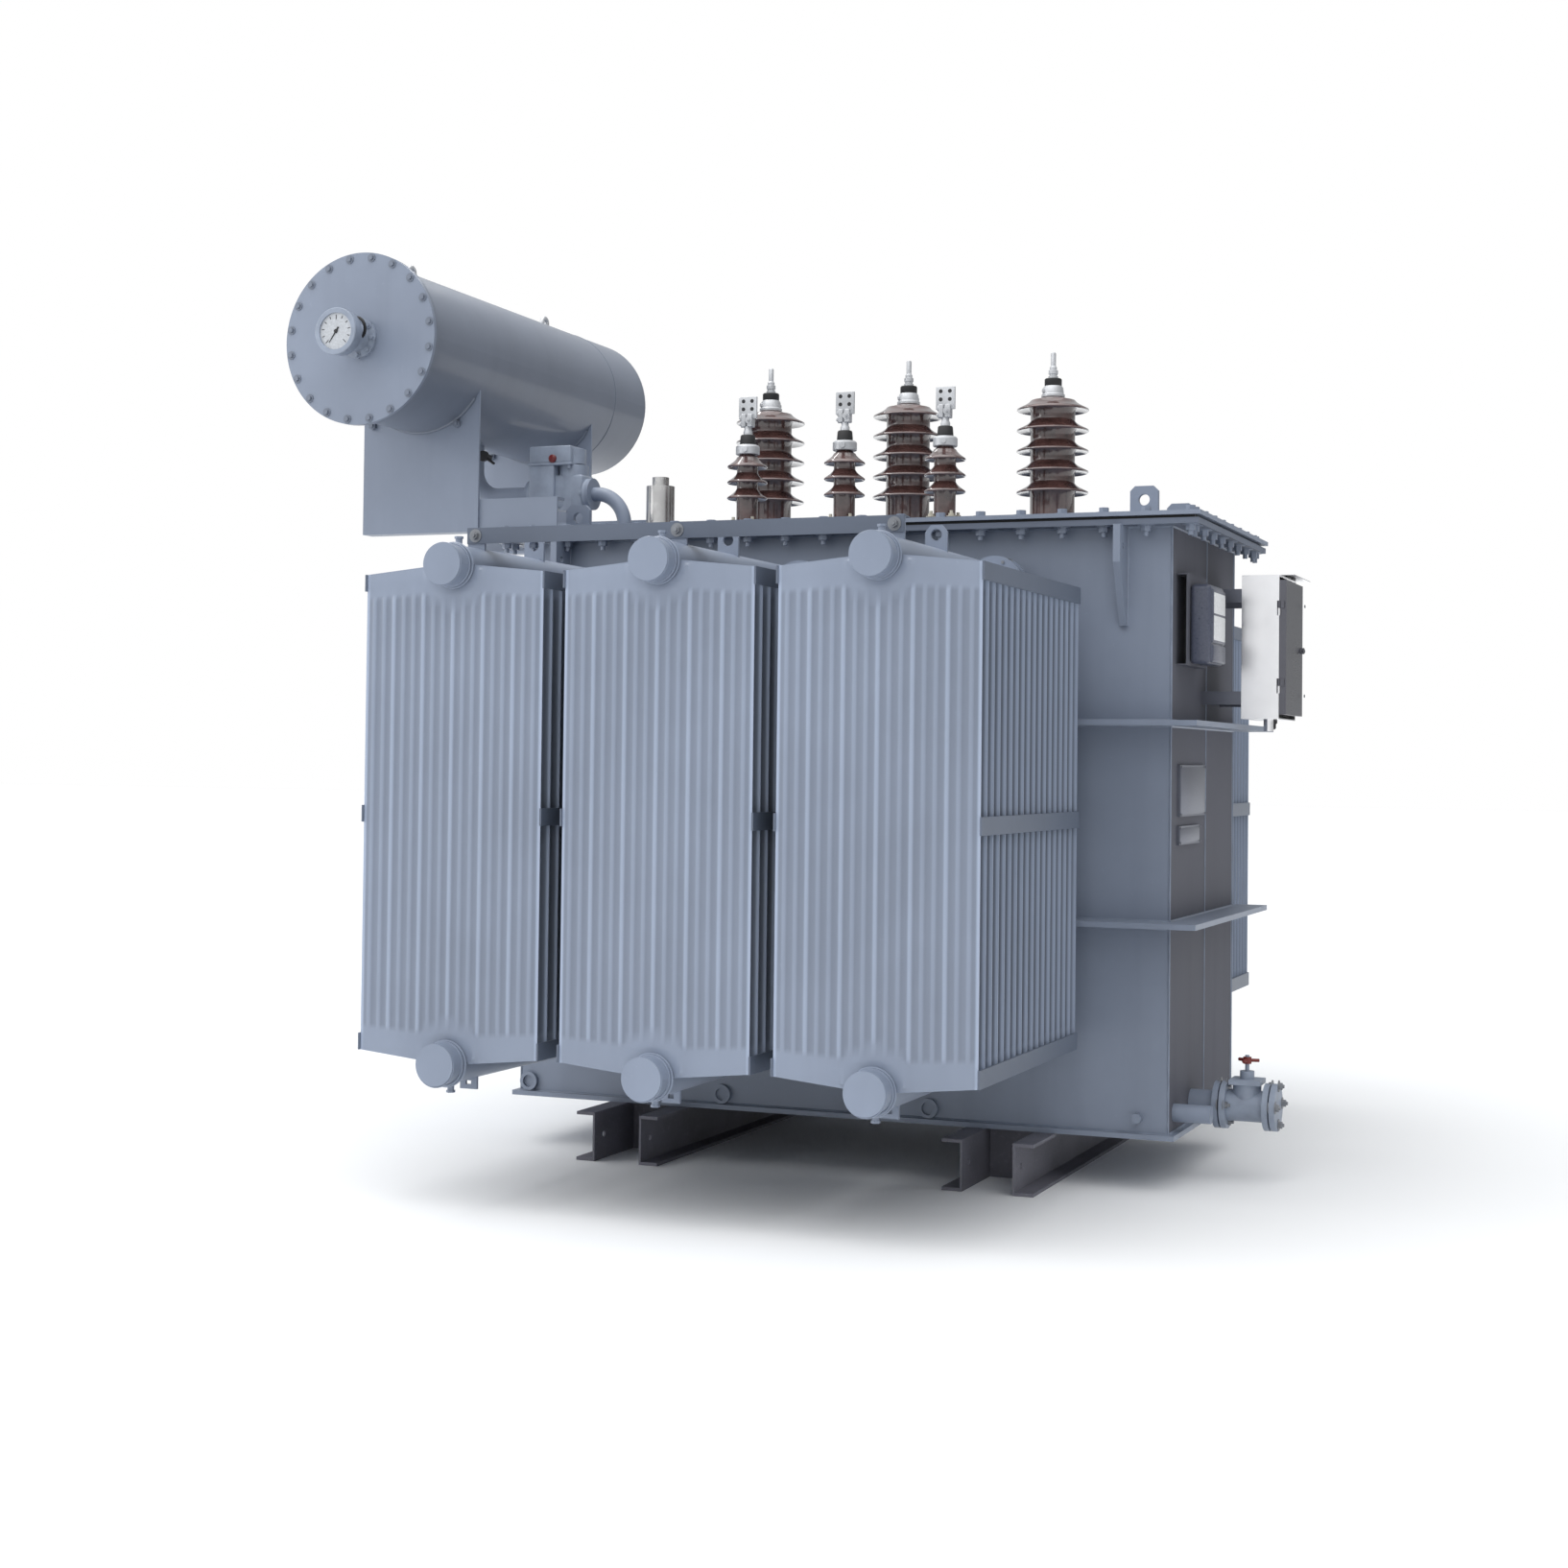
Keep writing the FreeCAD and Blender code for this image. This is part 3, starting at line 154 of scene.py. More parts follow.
# Mill scale and primer on the rolled channels.
def darkPrimer(name, tone):
    paint = Finish(name)
    cloud = paint.noise(5.0, 5.0)
    fleck = paint.noise(120.0, 3.0)
    body = paint.mix(paint.ramp(cloud, 0.3, 0.7), shade(tone, 0.8), shade(tone, 1.25))
    body = paint.mix(paint.ramp(fleck, 0.55, 0.75) * 0.5, body, shade(tone, 1.7))
    return paint.paintOn(body, 0.5 + cloud * 0.25, fleck, 0.0008, 0.5)


# Fired brown glaze with cloudy patches and fine dark specks.
def brownGlaze(name):
    glaze = Finish(name, Coat_Weight=1.0, Coat_Roughness=0.035, IOR=1.52)
    tone = (0.080, 0.040, 0.036)
    cloud = glaze.noise(22.0, 3.0)
    body = glaze.mix(glaze.ramp(cloud, 0.3, 0.7), shade(tone, 0.6), shade(tone, 1.5))
    body = glaze.mix(glaze.ramp(glaze.noise(260.0, 1.0), 0.66, 0.74) * 0.5, body, shade(tone, 0.25))
    return glaze.paintOn(body, 0.13 + cloud * 0.1, glaze.noise(45.0, 2.0), 0.0009, 0.25)


# Rolled stainless sheet with a fine grain along one axis.
def rolledSteel(name, tone, rough, grain=(1.0, 1.0, 30.0)):
    steel = Finish(name, Metallic=1.0)
    lines = steel.noise(30.0, 2.0, steel.stretched(grain))
    cloud = steel.noise(6.0, 3.0)
    body = steel.mix(steel.ramp(cloud, 0.3, 0.7), shade(tone, 0.88), shade(tone, 1.05))
    return steel.paintOn(body, rough + (lines - 0.5) * 0.1 + (cloud - 0.5) * 0.12, lines, 0.0002, 0.1)


def castMetal(name, tone, rough, metal=0.85):
    cast = Finish(name, Metallic=metal)
    sand = cast.noise(230.0, 3.0)
    cloud = cast.noise(14.0, 3.0)
    body = cast.mix(cast.ramp(cloud, 0.35, 0.7), shade(tone, 0.82), shade(tone, 1.1))
    return cast.paintOn(body, rough + (cloud - 0.5) * 0.2, sand, 0.0007, 0.45)


def mouldedRubber(name, tone, rough=0.55):
    rubber = Finish(name)
    fine = rubber.noise(180.0, 3.0)
    body = rubber.mix(rubber.ramp(fine, 0.4, 0.75), shade(tone, 0.9), shade(tone, 1.15))
    return rubber.paintOn(body, rough + (fine - 0.5) * 0.15, fine, 0.0003, 0.15)


# the "shade" tone is the tank paint made darker: painted shade on the side away from the light
tones = {"panel": (0.228, 0.268, 0.350), "tank": (0.205, 0.240, 0.312), "drum": (0.164, 0.188, 0.238),
         "cast": (0.270, 0.312, 0.392), "channel": (0.150, 0.148, 0.176), "cream": (0.50, 0.47, 0.39),
         "band": (0.102, 0.125, 0.172), "rim": (0.130, 0.152, 0.200), "shade": (0.105, 0.108, 0.130)}
paints = {
    "panel": enamel("panelEnamel", tones["panel"], 0.40, 0.16),
    "flute": enamel("flutedEnamel", tones["panel"], 0.36, 0.16, 0.2, "grimeShadeHighlight"),
    "rim": enamel("rimEnamel", tones["rim"], 0.5, 0.3, 0.0, gloss=0.3),
    "band": enamel("bandEnamel", tones["band"], 0.44, 0.2),
    # darker, duller tank enamel: painted shade on the right end wall and the thermometer bracket
    "shade": enamel("endShadeEnamel", tones["shade"], 0.62, 0.4, 0.0, gloss=0.12),
    "tank": enamel("tankEnamel", tones["tank"], 0.44, 0.34),
    "drum": enamel("drumEnamel", tones["drum"], 0.4, 0.25, 0.3, gloss=0.35, film=0.08),
    "cast": castMetal("paintedCasting", tones["cast"], 0.45, 0.0),
    "weld": castMetal("paintedWeld", tones["tank"], 0.4, 0.0),
    "channel": darkPrimer("channelPrimer", tones["channel"]),
    "glaze": brownGlaze("brownGlaze"),
    "steel": rolledSteel("cabinetSteel", (0.95, 0.94, 0.95), 0.22),
    # the cabinet's steel made dark: painted shade on the door, which faces away from the light
    "shadedDoorSteel": rolledSteel("shadedDoorSteel", (0.15, 0.15, 0.17), 0.3),
    "bright": castMetal("turnedSteel", (0.62, 0.61, 0.60), 0.24, 1.0),
    "cap": castMetal("castAluminium", (0.56, 0.57, 0.59), 0.42, 0.55),
    "zinc": castMetal("zincBolt", (0.24, 0.25, 0.27), 0.46, 0.5),
    "rubber": mouldedRubber("blackRubber", (0.012, 0.012, 0.013)),
    "cream": castMetal("creamClamp", tones["cream"], 0.5, 0.0),
    "case": mouldedRubber("instrumentCase", (0.072, 0.080, 0.115), 0.3),
    "dial": mouldedRubber("dialFace", (0.46, 0.48, 0.51), 0.4),
    "white": mouldedRubber("whiteFace", (0.74, 0.75, 0.76), 0.35),
    # black ink for the gauge marks, also painted shade in the flag holes
    "inkAndHoleShade": mouldedRubber("blackInkAndHoleShade", (0.01, 0.01, 0.012), 0.5),
    "red": enamel("wheelEnamel", (0.17, 0.018, 0.013), 0.45, 0.3),
    "plate": rolledSteel("plateSteel", (0.20, 0.21, 0.25), 0.42),
    "knob": mouldedRubber("darkRedKnob", (0.13, 0.01, 0.012), 0.35),
}
print("materials ready")

nodeFinish = {name: "tank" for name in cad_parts}
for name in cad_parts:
    if name.startswith("radiator"):
        nodeFinish[name] = "panel"
    if name.startswith("conservator"):
        nodeFinish[name] = "drum"
nodeFinish.update({
    "base_channels": "channel", "channel_spacers": "channel", "cover_gasket": "rubber",
    # the door takes the dark copy of the cabinet steel, painted shade
    "gas_relay": "cast", "drain_valve": "cast", "cabinet_body": "steel", "cabinet_door": "shadedDoorSteel",
    "cabinet_arms": "plate", "pressure_relief": "bright", "rating_plates": "plate",
    # the thermometer bracket and the right end wall take the "shade" paint, painted shade
    "thermometer_bracket": "shade", "level_gauge": "bright", "radiator_bands": "band",
    "tie_bars": "band", "rim_flange": "rim", "tank_wall_right": "shade", "drum_eyes": "cap",
    "conservator_supports": "tank", "conservator_beams": "tank", "conservator_cover": "tank"})
for name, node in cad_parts.items():
    node.data.materials.clear()
    node.data.materials.append(paints[nodeFinish[name]])


# Every piece is modelled in millimetres and finished in metres.
def addPiece(name, bm, paint, body="transformer", replaces=(), edge=0.0, smooth=35.0):
    bmesh.ops.remove_doubles(bm, verts=bm.verts, dist=0.02)
    bmesh.ops.recalc_face_normals(bm, faces=bm.faces)
    bmesh.ops.scale(bm, vec=(0.001, 0.001, 0.001), verts=bm.verts)
    mesh = bpy.data.meshes.new(name)
    bm.to_mesh(mesh)
    bm.free()
    mesh.shade_smooth()
    mesh.set_sharp_from_angle(angle=math.radians(smooth))
    mesh.materials.append(paints[paint])
    piece = bpy.data.objects.new(name, mesh)
    bpy.context.scene.collection.objects.link(piece)
    if edge:
        bevel = piece.modifiers.new("edge", "BEVEL")
        bevel.width = edge / 1000
        bevel.segments = 2
        bevel.limit_method = "ANGLE"
    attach(piece, body)
    if replaces:
        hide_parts(*replaces)
    return piece


def boxOf(node):
    low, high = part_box(node)
    return low * 1000, high * 1000


def solidsOf(node):
    # boxes of a node's separate solids, lowest corners first
    source = bmesh.new()
    source.from_mesh(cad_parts[node].data)
    bmesh.ops.remove_doubles(source, verts=source.verts, dist=1e-6)
    seen = set()
    boxes = []
    for start in source.verts:
        if start.index in seen:
            continue
        seen.add(start.index)
        stack = [start]
        points = []
        while stack:
            vert = stack.pop()
            points.append(vert.co * 1000)
            for edge in vert.link_edges:
                other = edge.other_vert(vert)
                if other.index not in seen:
                    seen.add(other.index)
                    stack.append(other)
        low = Vector([min(p[i] for p in points) for i in range(3)])
        high = Vector([max(p[i] for p in points) for i in range(3)])
        boxes.append((low, high))
    source.free()
    return sorted(boxes, key=lambda pair: tuple(round(v) for v in pair[0]))


# A turn that points Z along a direction.
def facing(way):
    return Vector(way).to_track_quat("Z", "Y").to_matrix().to_4x4()


def rod(bm, start, end, radius, top=None, sides=24):
    start, end = Vector(start), Vector(end)
    bmesh.ops.create_cone(bm, cap_ends=True, cap_tris=False, segments=sides, radius1=radius,
                          radius2=radius if top is None else top, depth=(end - start).length,
                          matrix=Matrix.Translation((start + end) / 2) @ facing(end - start))


def slab(bm, low, high, rounding=0.0):
    low, high = Vector(low), Vector(high)
    spread = Matrix.Translation((low + high) / 2) @ Matrix.Diagonal((*(high - low), 1.0))
    verts = bmesh.ops.create_cube(bm, size=1.0, matrix=spread)["verts"]
    if rounding:
        edges = list({edge for vert in verts for edge in vert.link_edges})
        bmesh.ops.bevel(bm, geom=edges, offset=rounding, affect="EDGES", segments=3, profile=0.5,
                        material=-1)


def turned(bm, profile, place, axis="z", steps=48):
    # profile: (radius, distance along the axis); spun once round the axis
    place = Vector(place)
    way = along[axis] if isinstance(axis, str) else Vector(axis).normalized()
    side = way.orthogonal().normalized()
    verts = [bm.verts.new(place + side * radius + way * level) for radius, level in profile]
    edges = [bm.edges.new(pair) for pair in zip(verts, verts[1:])]
    bmesh.ops.spin(bm, geom=verts + edges, cent=place, axis=way, dvec=(0, 0, 0), angle=2 * math.pi,
                   steps=steps, use_merge=True, use_normal_flip=False, use_duplicate=False)


def ringBead(bm, place, axis, radius, thick, steps=40, sides=6):
    turns = [math.tau * k / sides for k in range(sides + 1)]
    profile = [(radius + thick * math.cos(turn), thick * math.sin(turn)) for turn in turns]
    turned(bm, profile, place, axis, steps)


# Radii as shares of the width across flats; the head starts on the washer's thickness.
boltShape = {"washer": 0.98, "head": 0.58, "stud": 0.3, "thick": 2, "overlap": 0.2, "studSunk": 1}


def hexBolt(bm, place, out, flats, tall, washer=1.0, stud=0.0):
    place, out = Vector(place), Vector(out).normalized()
    seat, overlap = boltShape["thick"], boltShape["overlap"]
    end = seat + tall
    if washer:
        rod(bm, place, place + out * (seat + overlap), flats * boltShape["washer"] * washer, sides=16)
    rod(bm, place + out * (seat - overlap), place + out * end, flats * boltShape["head"], sides=6)
    if stud:
        sunk = place + out * (end - boltShape["studSunk"])
        rod(bm, sunk, place + out * (end + stud), flats * boltShape["stud"], sides=10)


def boltRing(bm, place, axis, radius, count, flats, tall, first=0.0, stud=0.0):
    way = Vector(axis).normalized()
    side = way.orthogonal().normalized()
    for k in range(count):
        spoke = Matrix.Rotation(math.tau * (k + first) / count, 3, way) @ side
        hexBolt(bm, Vector(place) + spoke * radius, way, flats, tall, 1.0, stud)


# Camera, floor and lights
camera = {"lens": 53.02, "shift": (-0.02034, -0.0505), "place": (2.4241, -6.6318, 1.1569),
          "yaw": 21.69, "pitch": 1.42, "roll": 0.64}


def aimCamera():
    yaw, pitch, roll = (math.radians(camera[key]) for key in ("yaw", "pitch", "roll"))
    ahead = Vector((-math.sin(yaw) * math.cos(pitch), math.cos(yaw) * math.cos(pitch), math.sin(pitch)))
    right = Vector((math.cos(yaw), math.sin(yaw), 0))
    up = right.cross(ahead)
    tiltedRight = math.cos(roll) * right + math.sin(roll) * up
    tiltedUp = -math.sin(roll) * right + math.cos(roll) * up
    data = bpy.data.cameras.new("frontCamera")
    data.lens = camera["lens"]
    data.sensor_width = 36
    data.shift_x, data.shift_y = camera["shift"]
    view = bpy.data.objects.new("frontCamera", data)
    turn = Matrix((tiltedRight, tiltedUp, -ahead)).transposed()
    view.matrix_world = Matrix.Translation(camera["place"]) @ turn.to_4x4()
    bpy.context.scene.collection.objects.link(view)
    bpy.context.scene.camera = view


studio = {"sky": (0.24, 1.0), "bright": (-0.62, -0.55, 0.56), "backdrop": 1.0,
          "floor": (0.93, 0.935, 0.94), "floorHalf": 60.0, "floorDrop": 0.0005,
          "sun": (1.5, (0.0, -0.34, 1.0), 90),
          "lamps": {"edge": ((-5.2, -3.2, 3.4), 2.6, 40.0), "above": ((-0.6, -1.6, 6.2), 5.0, 50.0)},
          "lampAim": (0, 0, 1.1),
          "strips": {"roofStrip": ((-1.30, -0.1, 3.75), 0.10, 9.0),
                     "sideStrip": ((-2.75, -0.1, 2.72), 0.14, 9.0)},
          "stripLong": 2.0, "stripAim": (-1.352, -0.1, 2.4)}


# The camera sees plain paper; everything else is lit by a sky that is brighter on one side.
def paperSky():
    world = bpy.data.worlds.new("studio")
    world.use_nodes = True
    nodes, links = world.node_tree.nodes, world.node_tree.links
    sky = nodes["Background"]
    sky.inputs["Color"].default_value = (0.96, 0.98, 1.0, 1)
    place = nodes.new("ShaderNodeTexCoord")
    towards = nodes.new("ShaderNodeVectorMath")
    towards.operation = "DOT_PRODUCT"
    towards.inputs[1].default_value = studio["bright"]
    links.new(place.outputs["Generated"], towards.inputs[0])
    level = nodes.new("ShaderNodeMapRange")
    for socket, value in zip((1, 2, 3, 4), (-1.0, 1.0, *studio["sky"])):
        level.inputs[socket].default_value = value
    links.new(towards.outputs["Value"], level.inputs[0])
    links.new(level.outputs[0], sky.inputs["Strength"])
    paper = nodes.new("ShaderNodeBackground")
    paper.inputs["Color"].default_value = (1, 1, 1, 1)
    paper.inputs["Strength"].default_value = studio["backdrop"]
    seen = nodes.new("ShaderNodeLightPath")
    blend = nodes.new("ShaderNodeMixShader")
    links.new(seen.outputs["Is Camera Ray"], blend.inputs[0])
    links.new(sky.outputs[0], blend.inputs[1])
    links.new(paper.outputs[0], blend.inputs[2])
    links.new(blend.outputs[0], nodes["World Output"].inputs[0])
    bpy.context.scene.world = world


def addLamp(name, kind, power, place, turn, seen=True, **shape):
    data = bpy.data.lights.new(name, kind)
    data.energy = power
    for key, value in shape.items():
        setattr(data, key, value)
    lamp = bpy.data.objects.new(name, data)
    lamp.matrix_world = Matrix.Translation(place) @ turn
    lamp.visible_camera = seen
    bpy.context.scene.collection.objects.link(lamp)


def lights():
    strength, towards, spread = studio["sun"]
    addLamp("sun", "SUN", strength, (0, 0, 0), facing(towards), angle=math.radians(spread))
    for name, (place, size, power) in studio["lamps"].items():
        turn = facing(Vector(place) - Vector(studio["lampAim"]))
        addLamp(name, "AREA", power, place, turn, shape="DISK", size=size)
    # long lamps that run beside the drum and draw bright lines along it
    for name, (place, wide, power) in studio["strips"].items():
        back = (Vector(place) - Vector(studio["stripAim"])).normalized()
        across = along["y"].cross(back).normalized()
        turn = Matrix((across, back.cross(across), back)).transposed().to_4x4()
        addLamp(name, "AREA", power, place, turn, False, shape="RECTANGLE", size=wide,
                size_y=studio["stripLong"])


def paperFloor():
    bm = bmesh.new()
    bmesh.ops.create_grid(bm, x_segments=1, y_segments=1, size=studio["floorHalf"])
    mesh = bpy.data.meshes.new("floor")
    bm.to_mesh(mesh)
    bm.free()
    floor = bpy.data.objects.new("floor", mesh)
    floor.location = (0, 0, -studio["floorDrop"])
    pale = Finish("floorPaper", Roughness=0.95)
    mesh.materials.append(pale.paintOn((*studio["floor"], 1.0)))
    bpy.context.scene.collection.objects.link(floor)


aimCamera()
paperSky()
lights()
paperFloor()
bpy.context.scene.view_settings.view_transform = "Standard"
print("camera and studio ready")


# Radiator panels, each pressed from two sheets with upright flutes
press = {"flutes": 17, "seam": 5.0, "seamDepth": 1.2, "base": 2.6, "margin": 10.0, "zone": 58.0,
         "fade": 14.0, "collar": 104.0, "hub": 78, "hubWide": 22, "gable": 26.0, "gableFade": 150,
         "fineSteps": 8, "plainSteps": 4, "lowFlute": 0.8,
         # below: inner fins and grooves darkened as grime and painted shade, ridges and seams as painted
         # highlight
         "innerShadeAndGrime": 0.42, "fluteGrimeShadeHighlight": 0.32, "seamHighlight": 0.7}


def smoothStep(value):
    value = min(1.0, max(0.0, value))
    return value * value * (3 - 2 * value)


def pressedFin(bm, low, high, fine):
    grimeShadeHighlight = bm.verts.layers.float["grimeShadeHighlight"]
    middle = (low.x + high.x) / 2
    half = (high.x - low.x) / 2
    level = (low.y + high.y) / 2
    deep = (high.y - low.y) / 2
    steps = press["fineSteps"] if fine else press["plainSteps"]
    inner = half - press["margin"]
    count = press["flutes"] * steps
    xs = [-half, -half + press["seam"]] + [-inner + 2 * inner * k / count for k in range(count + 1)]
    xs += [half - press["seam"], half]
    tall = high.z - low.z - 2 * press["gable"]
    ends = [0, 5, 11, 36, 58, 65, 72, 96, 112, 128, 146] if fine else [0, 6, 12, 58, 72]
    zs = ends + [tall / 2] + [tall - z for z in reversed(ends)]
    grid = bmesh.ops.create_grid(bm, x_segments=len(xs) - 1, y_segments=len(zs) - 1, size=0.5)["verts"]
    for vert in grid:
        column = round((vert.co.x + 0.5) * (len(xs) - 1))
        row = round((vert.co.y + 0.5) * (len(zs) - 1))
        x = xs[column]
        z = zs[row]
        fromEdge = min(z, tall - z)
        rise = press["gable"] * (1 - abs(x) / half)
        stay = 1 - smoothStep(fromEdge / press["gableFade"])
        z += rise * stay * (1 if z > tall / 2 else -1)
        phase = (x + inner) / (2 * inner) * press["flutes"]
        flute = smoothStep(1.3 * (0.5 - 0.5 * math.cos(phase * math.tau)) - 0.22)
        flute *= 1.0 if int(phase) % 3 == 2 else press["lowFlute"]
        hub = math.hypot(x, fromEdge - rise * stay + press["gable"] - 5)
        mask = smoothStep((fromEdge - press["zone"]) / press["fade"])
        if fine:
            mask *= smoothStep((hub - press["collar"]) / press["fade"])
        inside = smoothStep(min(half - abs(x) - press["seam"], fromEdge - 5) / 6)
        thick = press["seamDepth"] + (press["base"] - press["seamDepth"]) * inside
        thick += (deep - press["base"]) * mask * flute * inside
        if fine:
            ridge = smoothStep(1 - abs(hub - press["hub"]) / press["hubWide"])
            thick += (deep - press["base"]) * ridge * inside
        # per vertex: darker for grime and painted shade between fins, lighter for painted highlight
        vert[grimeShadeHighlight] = 0.0
        # fins inside the stack darker: painted shade between the fins, with some grime
        if not fine:
            vert[grimeShadeHighlight] = press["innerShadeAndGrime"] * (1 - smoothStep((abs(x) - half + 16) / 12))
        # grooves darker as grime and painted shade, ridge tops lighter as a painted highlight
        vert[grimeShadeHighlight] += press["fluteGrimeShadeHighlight"] * mask * inside * (1 - 2.2 * flute ** 3)
        # seams lighter: painted highlight
        if abs(x) > half - press["seam"] - 0.1:
            vert[grimeShadeHighlight] = -press["seamHighlight"]
        vert.co = Vector((middle + x, level - thick, low.z + press["gable"] + z))
    sheet = list({face for vert in grid for face in vert.link_faces})
    rim = [edge for edge in {edge for face in sheet for edge in face.edges} if edge.is_boundary]
    copy = bmesh.ops.duplicate(bm, geom=sheet + grid + list({e for f in sheet for e in f.edges}))["geom"]
    back = [item for item in copy if isinstance(item, bmesh.types.BMVert)]
    for vert in back:
        vert.co.y = 2 * level - vert.co.y
    backRim = [item for item in copy if isinstance(item, bmesh.types.BMEdge) and item.is_boundary]
    bmesh.ops.bridge_loops(bm, edges=rim + backRim)


def radiators():
    for bank in ("front", "back"):
        for number in (1, 2, 3):
            node = "radiator_%s_%d_fins" % (bank, number)
            boxes = sorted(solidsOf(node), key=lambda pair: pair[0].y)
            bm = bmesh.new()
            # attribute for grime, painted shade and painted highlight on the fins
            bm.verts.layers.float.new("grimeShadeHighlight")
            for low, high in boxes:
                pressedFin(bm, low, high, low.y in (boxes[0][0].y, boxes[-1][0].y))
            addPiece("panels_%s_%d" % (bank, number), bm, "flute", replaces=(node,))


radiators()
print("radiator panels pressed")


# Header pipes: weld rings and small drain plugs, then the bolts of the radiator valves.
# Each bead is (distance back from the pipe's end, radius, thickness).
pipes = {"topLevel": 1653, "lowLevel": 374, "beads": ((5, 54, 2.0), (46, 55, 3.0), (57, 57, 4.0)),
         "plugRadius": 9.0, "plugTall": 26.0, "plugBack": 92, "plugAside": 4, "plugRise": 48}


def headerFittings():
    beads = bmesh.new()
    plugs = bmesh.new()
    for bank, way in (("front", -1), ("back", 1)):
        for low, high in solidsOf("radiator_headers_" + bank):
            x = (low.x + high.x) / 2
            top = low.z > 900
            z = pipes["topLevel"] if top else pipes["lowLevel"]
            tip = low.y if way < 0 else high.y
            for back, radius, thick in pipes["beads"]:
                ringBead(beads, (x, tip - way * back, z), "y", radius, thick)
            up = 1 if top else -1
            level = z + up * pipes["plugRise"]
            start = Vector((x - pipes["plugAside"], tip - way * pipes["plugBack"], level))
            rod(plugs, start, start + Vector((0, 0, up * pipes["plugTall"])), pipes["plugRadius"], sides=16)
            end = start + Vector((0, 0, up * (pipes["plugTall"] - 4)))
            hexBolt(plugs, end, (0, 0, up), 20, 6, 0.0)
    addPiece("header_welds", beads, "panel")
    addPiece("header_plugs", plugs, "panel")

    bolts = bmesh.new()
    for low, high in solidsOf("radiator_valves"):
        centre = (low + high) / 2
        for way in (-1, 1):
            face = low.y if way < 0 else high.y
            boltRing(bolts, (centre.x, face, centre.z), (0, way, 0), radius=66, count=8,
                     flats=15, tall=9, first=0.5, stud=5)
    addPiece("valve_bolts", bolts, "zinc")


headerFittings()
print("header fittings done")


# Bolts round the cover, with nuts under the rim
coverBolts = {"pitchX": 118.4, "lastX": 931, "countX": 17, "rowY": 452,
              "pitchY": 117, "firstY": -402, "countY": 8, "rowX": 1054,
              "flats": 24, "head": 13, "nut": 15, "stud": 13}


def boltedCover():
    size = coverBolts
    bolts = bmesh.new()
    top = boxOf("tank_cover")[1].z
    under = boxOf("rim_flange")[0].z
    spots = []
    for side in (-1, 1):
        x, y = side * size["rowX"], side * size["rowY"]
        spots += [(size["lastX"] - size["pitchX"] * k, y) for k in range(size["countX"])]
        spots += [(x, size["firstY"] + size["pitchY"] * k) for k in range(size["countY"])]
        spots += [(x, -size["rowY"]), (x, size["rowY"])]
    for x, y in spots:
        hexBolt(bolts, (x, y, top), (0, 0, 1), size["flats"], size["head"])
        hexBolt(bolts, (x, y, under), (0, 0, -1), size["flats"], size["nut"], 1.0, size["stud"])
    addPiece("cover_bolts", bolts, "tank")


boltedCover()


# Weld beads along the seams of the tank
seams = {"level": 4.0, "corner": 3.0, "gusset": 4.0, "endY": 28, "endThick": 2.5,
         "stubRadius": 56, "stubThick": 5.0}


def tankWelds():
    bm = bmesh.new()

    def weld(start, end, thick):
        rod(bm, start, end, thick, sides=8)

    low, high = boxOf("tank_wall_front")[0], boxOf("tank_wall_back")[1]
    levels = [corner.z for node in ("lower_ribs", "upper_ribs") for corner in boxOf(node)]
    for z in (*levels, low.z, high.z):
        for y in (low.y, high.y):
            weld((low.x, y, z), (high.x, y, z), seams["level"])
        for x in (low.x, high.x):
            weld((x, low.y, z), (x, high.y, z), seams["level"])
    for x in (low.x, high.x):
        for y in (low.y, high.y):
            weld((x, y, low.z), (x, y, high.z), seams["corner"])
    low, high = boxOf("tank_wall_right")
    weld((high.x, seams["endY"], low.z), (high.x, seams["endY"], high.z), seams["endThick"])
    for low, high in solidsOf("tank_stubs"):
        wall = high.y if low.y < 0 else low.y
        place = ((low.x + high.x) / 2, wall, (low.z + high.z) / 2)
        ringBead(bm, place, "y", seams["stubRadius"], seams["stubThick"])
    for low, high in solidsOf("tank_gussets"):
        wall = high.y if low.y < 0 else low.y
        for x in (low.x, high.x):
            weld((x, wall, low.z), (x, wall, high.z), seams["gusset"])
    addPiece("tank_welds", bm, "weld")


tankWelds()
print("tank welds and cover bolts done")


# Porcelain with drooping sheds
sheds = {"high": {"body": 68, "tip": 110, "count": 5, "pitch": 63.5, "first": 140, "tall": 430, "neck": 36},
         "low": {"body": 32, "tip": 61, "count": 3, "pitch": 47.5, "first": 101, "tall": 231, "neck": 24}}


def porcelainProfile(spec):
    body, tip = spec["body"], spec["tip"]
    reach = tip - body
    profile = [(0, 0), (body, 0), (body, spec["first"] - 12)]
    for shed in range(spec["count"]):
        z = spec["first"] + shed * spec["pitch"]
        if shed:
            profile.append((body, z - spec["pitch"] * 0.42))
            profile.append((body, z - 4))
        profile += [(body + reach * 0.12, z + 3), (body + reach * 0.5, z + 1),
                    (body + reach * 0.82, z - 3.5), (tip - 2.2, z - 5), (tip, z - 2.5),
                    (tip - 0.8, z + 0.6), (body + reach * 0.72, z + 6), (body + reach * 0.4, z + 13),
                    (body + reach * 0.15, z + 20), (body, z + 27)]
    profile += [(body, spec["tall"] - body * 0.42), (body * 0.96, spec["tall"] - body * 0.24),
                (body * 0.8, spec["tall"] - body * 0.1), (spec["neck"], spec["tall"]), (0, spec["tall"])]
    kept = [profile[0]]
    for point in profile[1:]:
        if point[1] >= kept[-1][1] - 12 and point != kept[-1]:
            kept.append(point)
    return kept


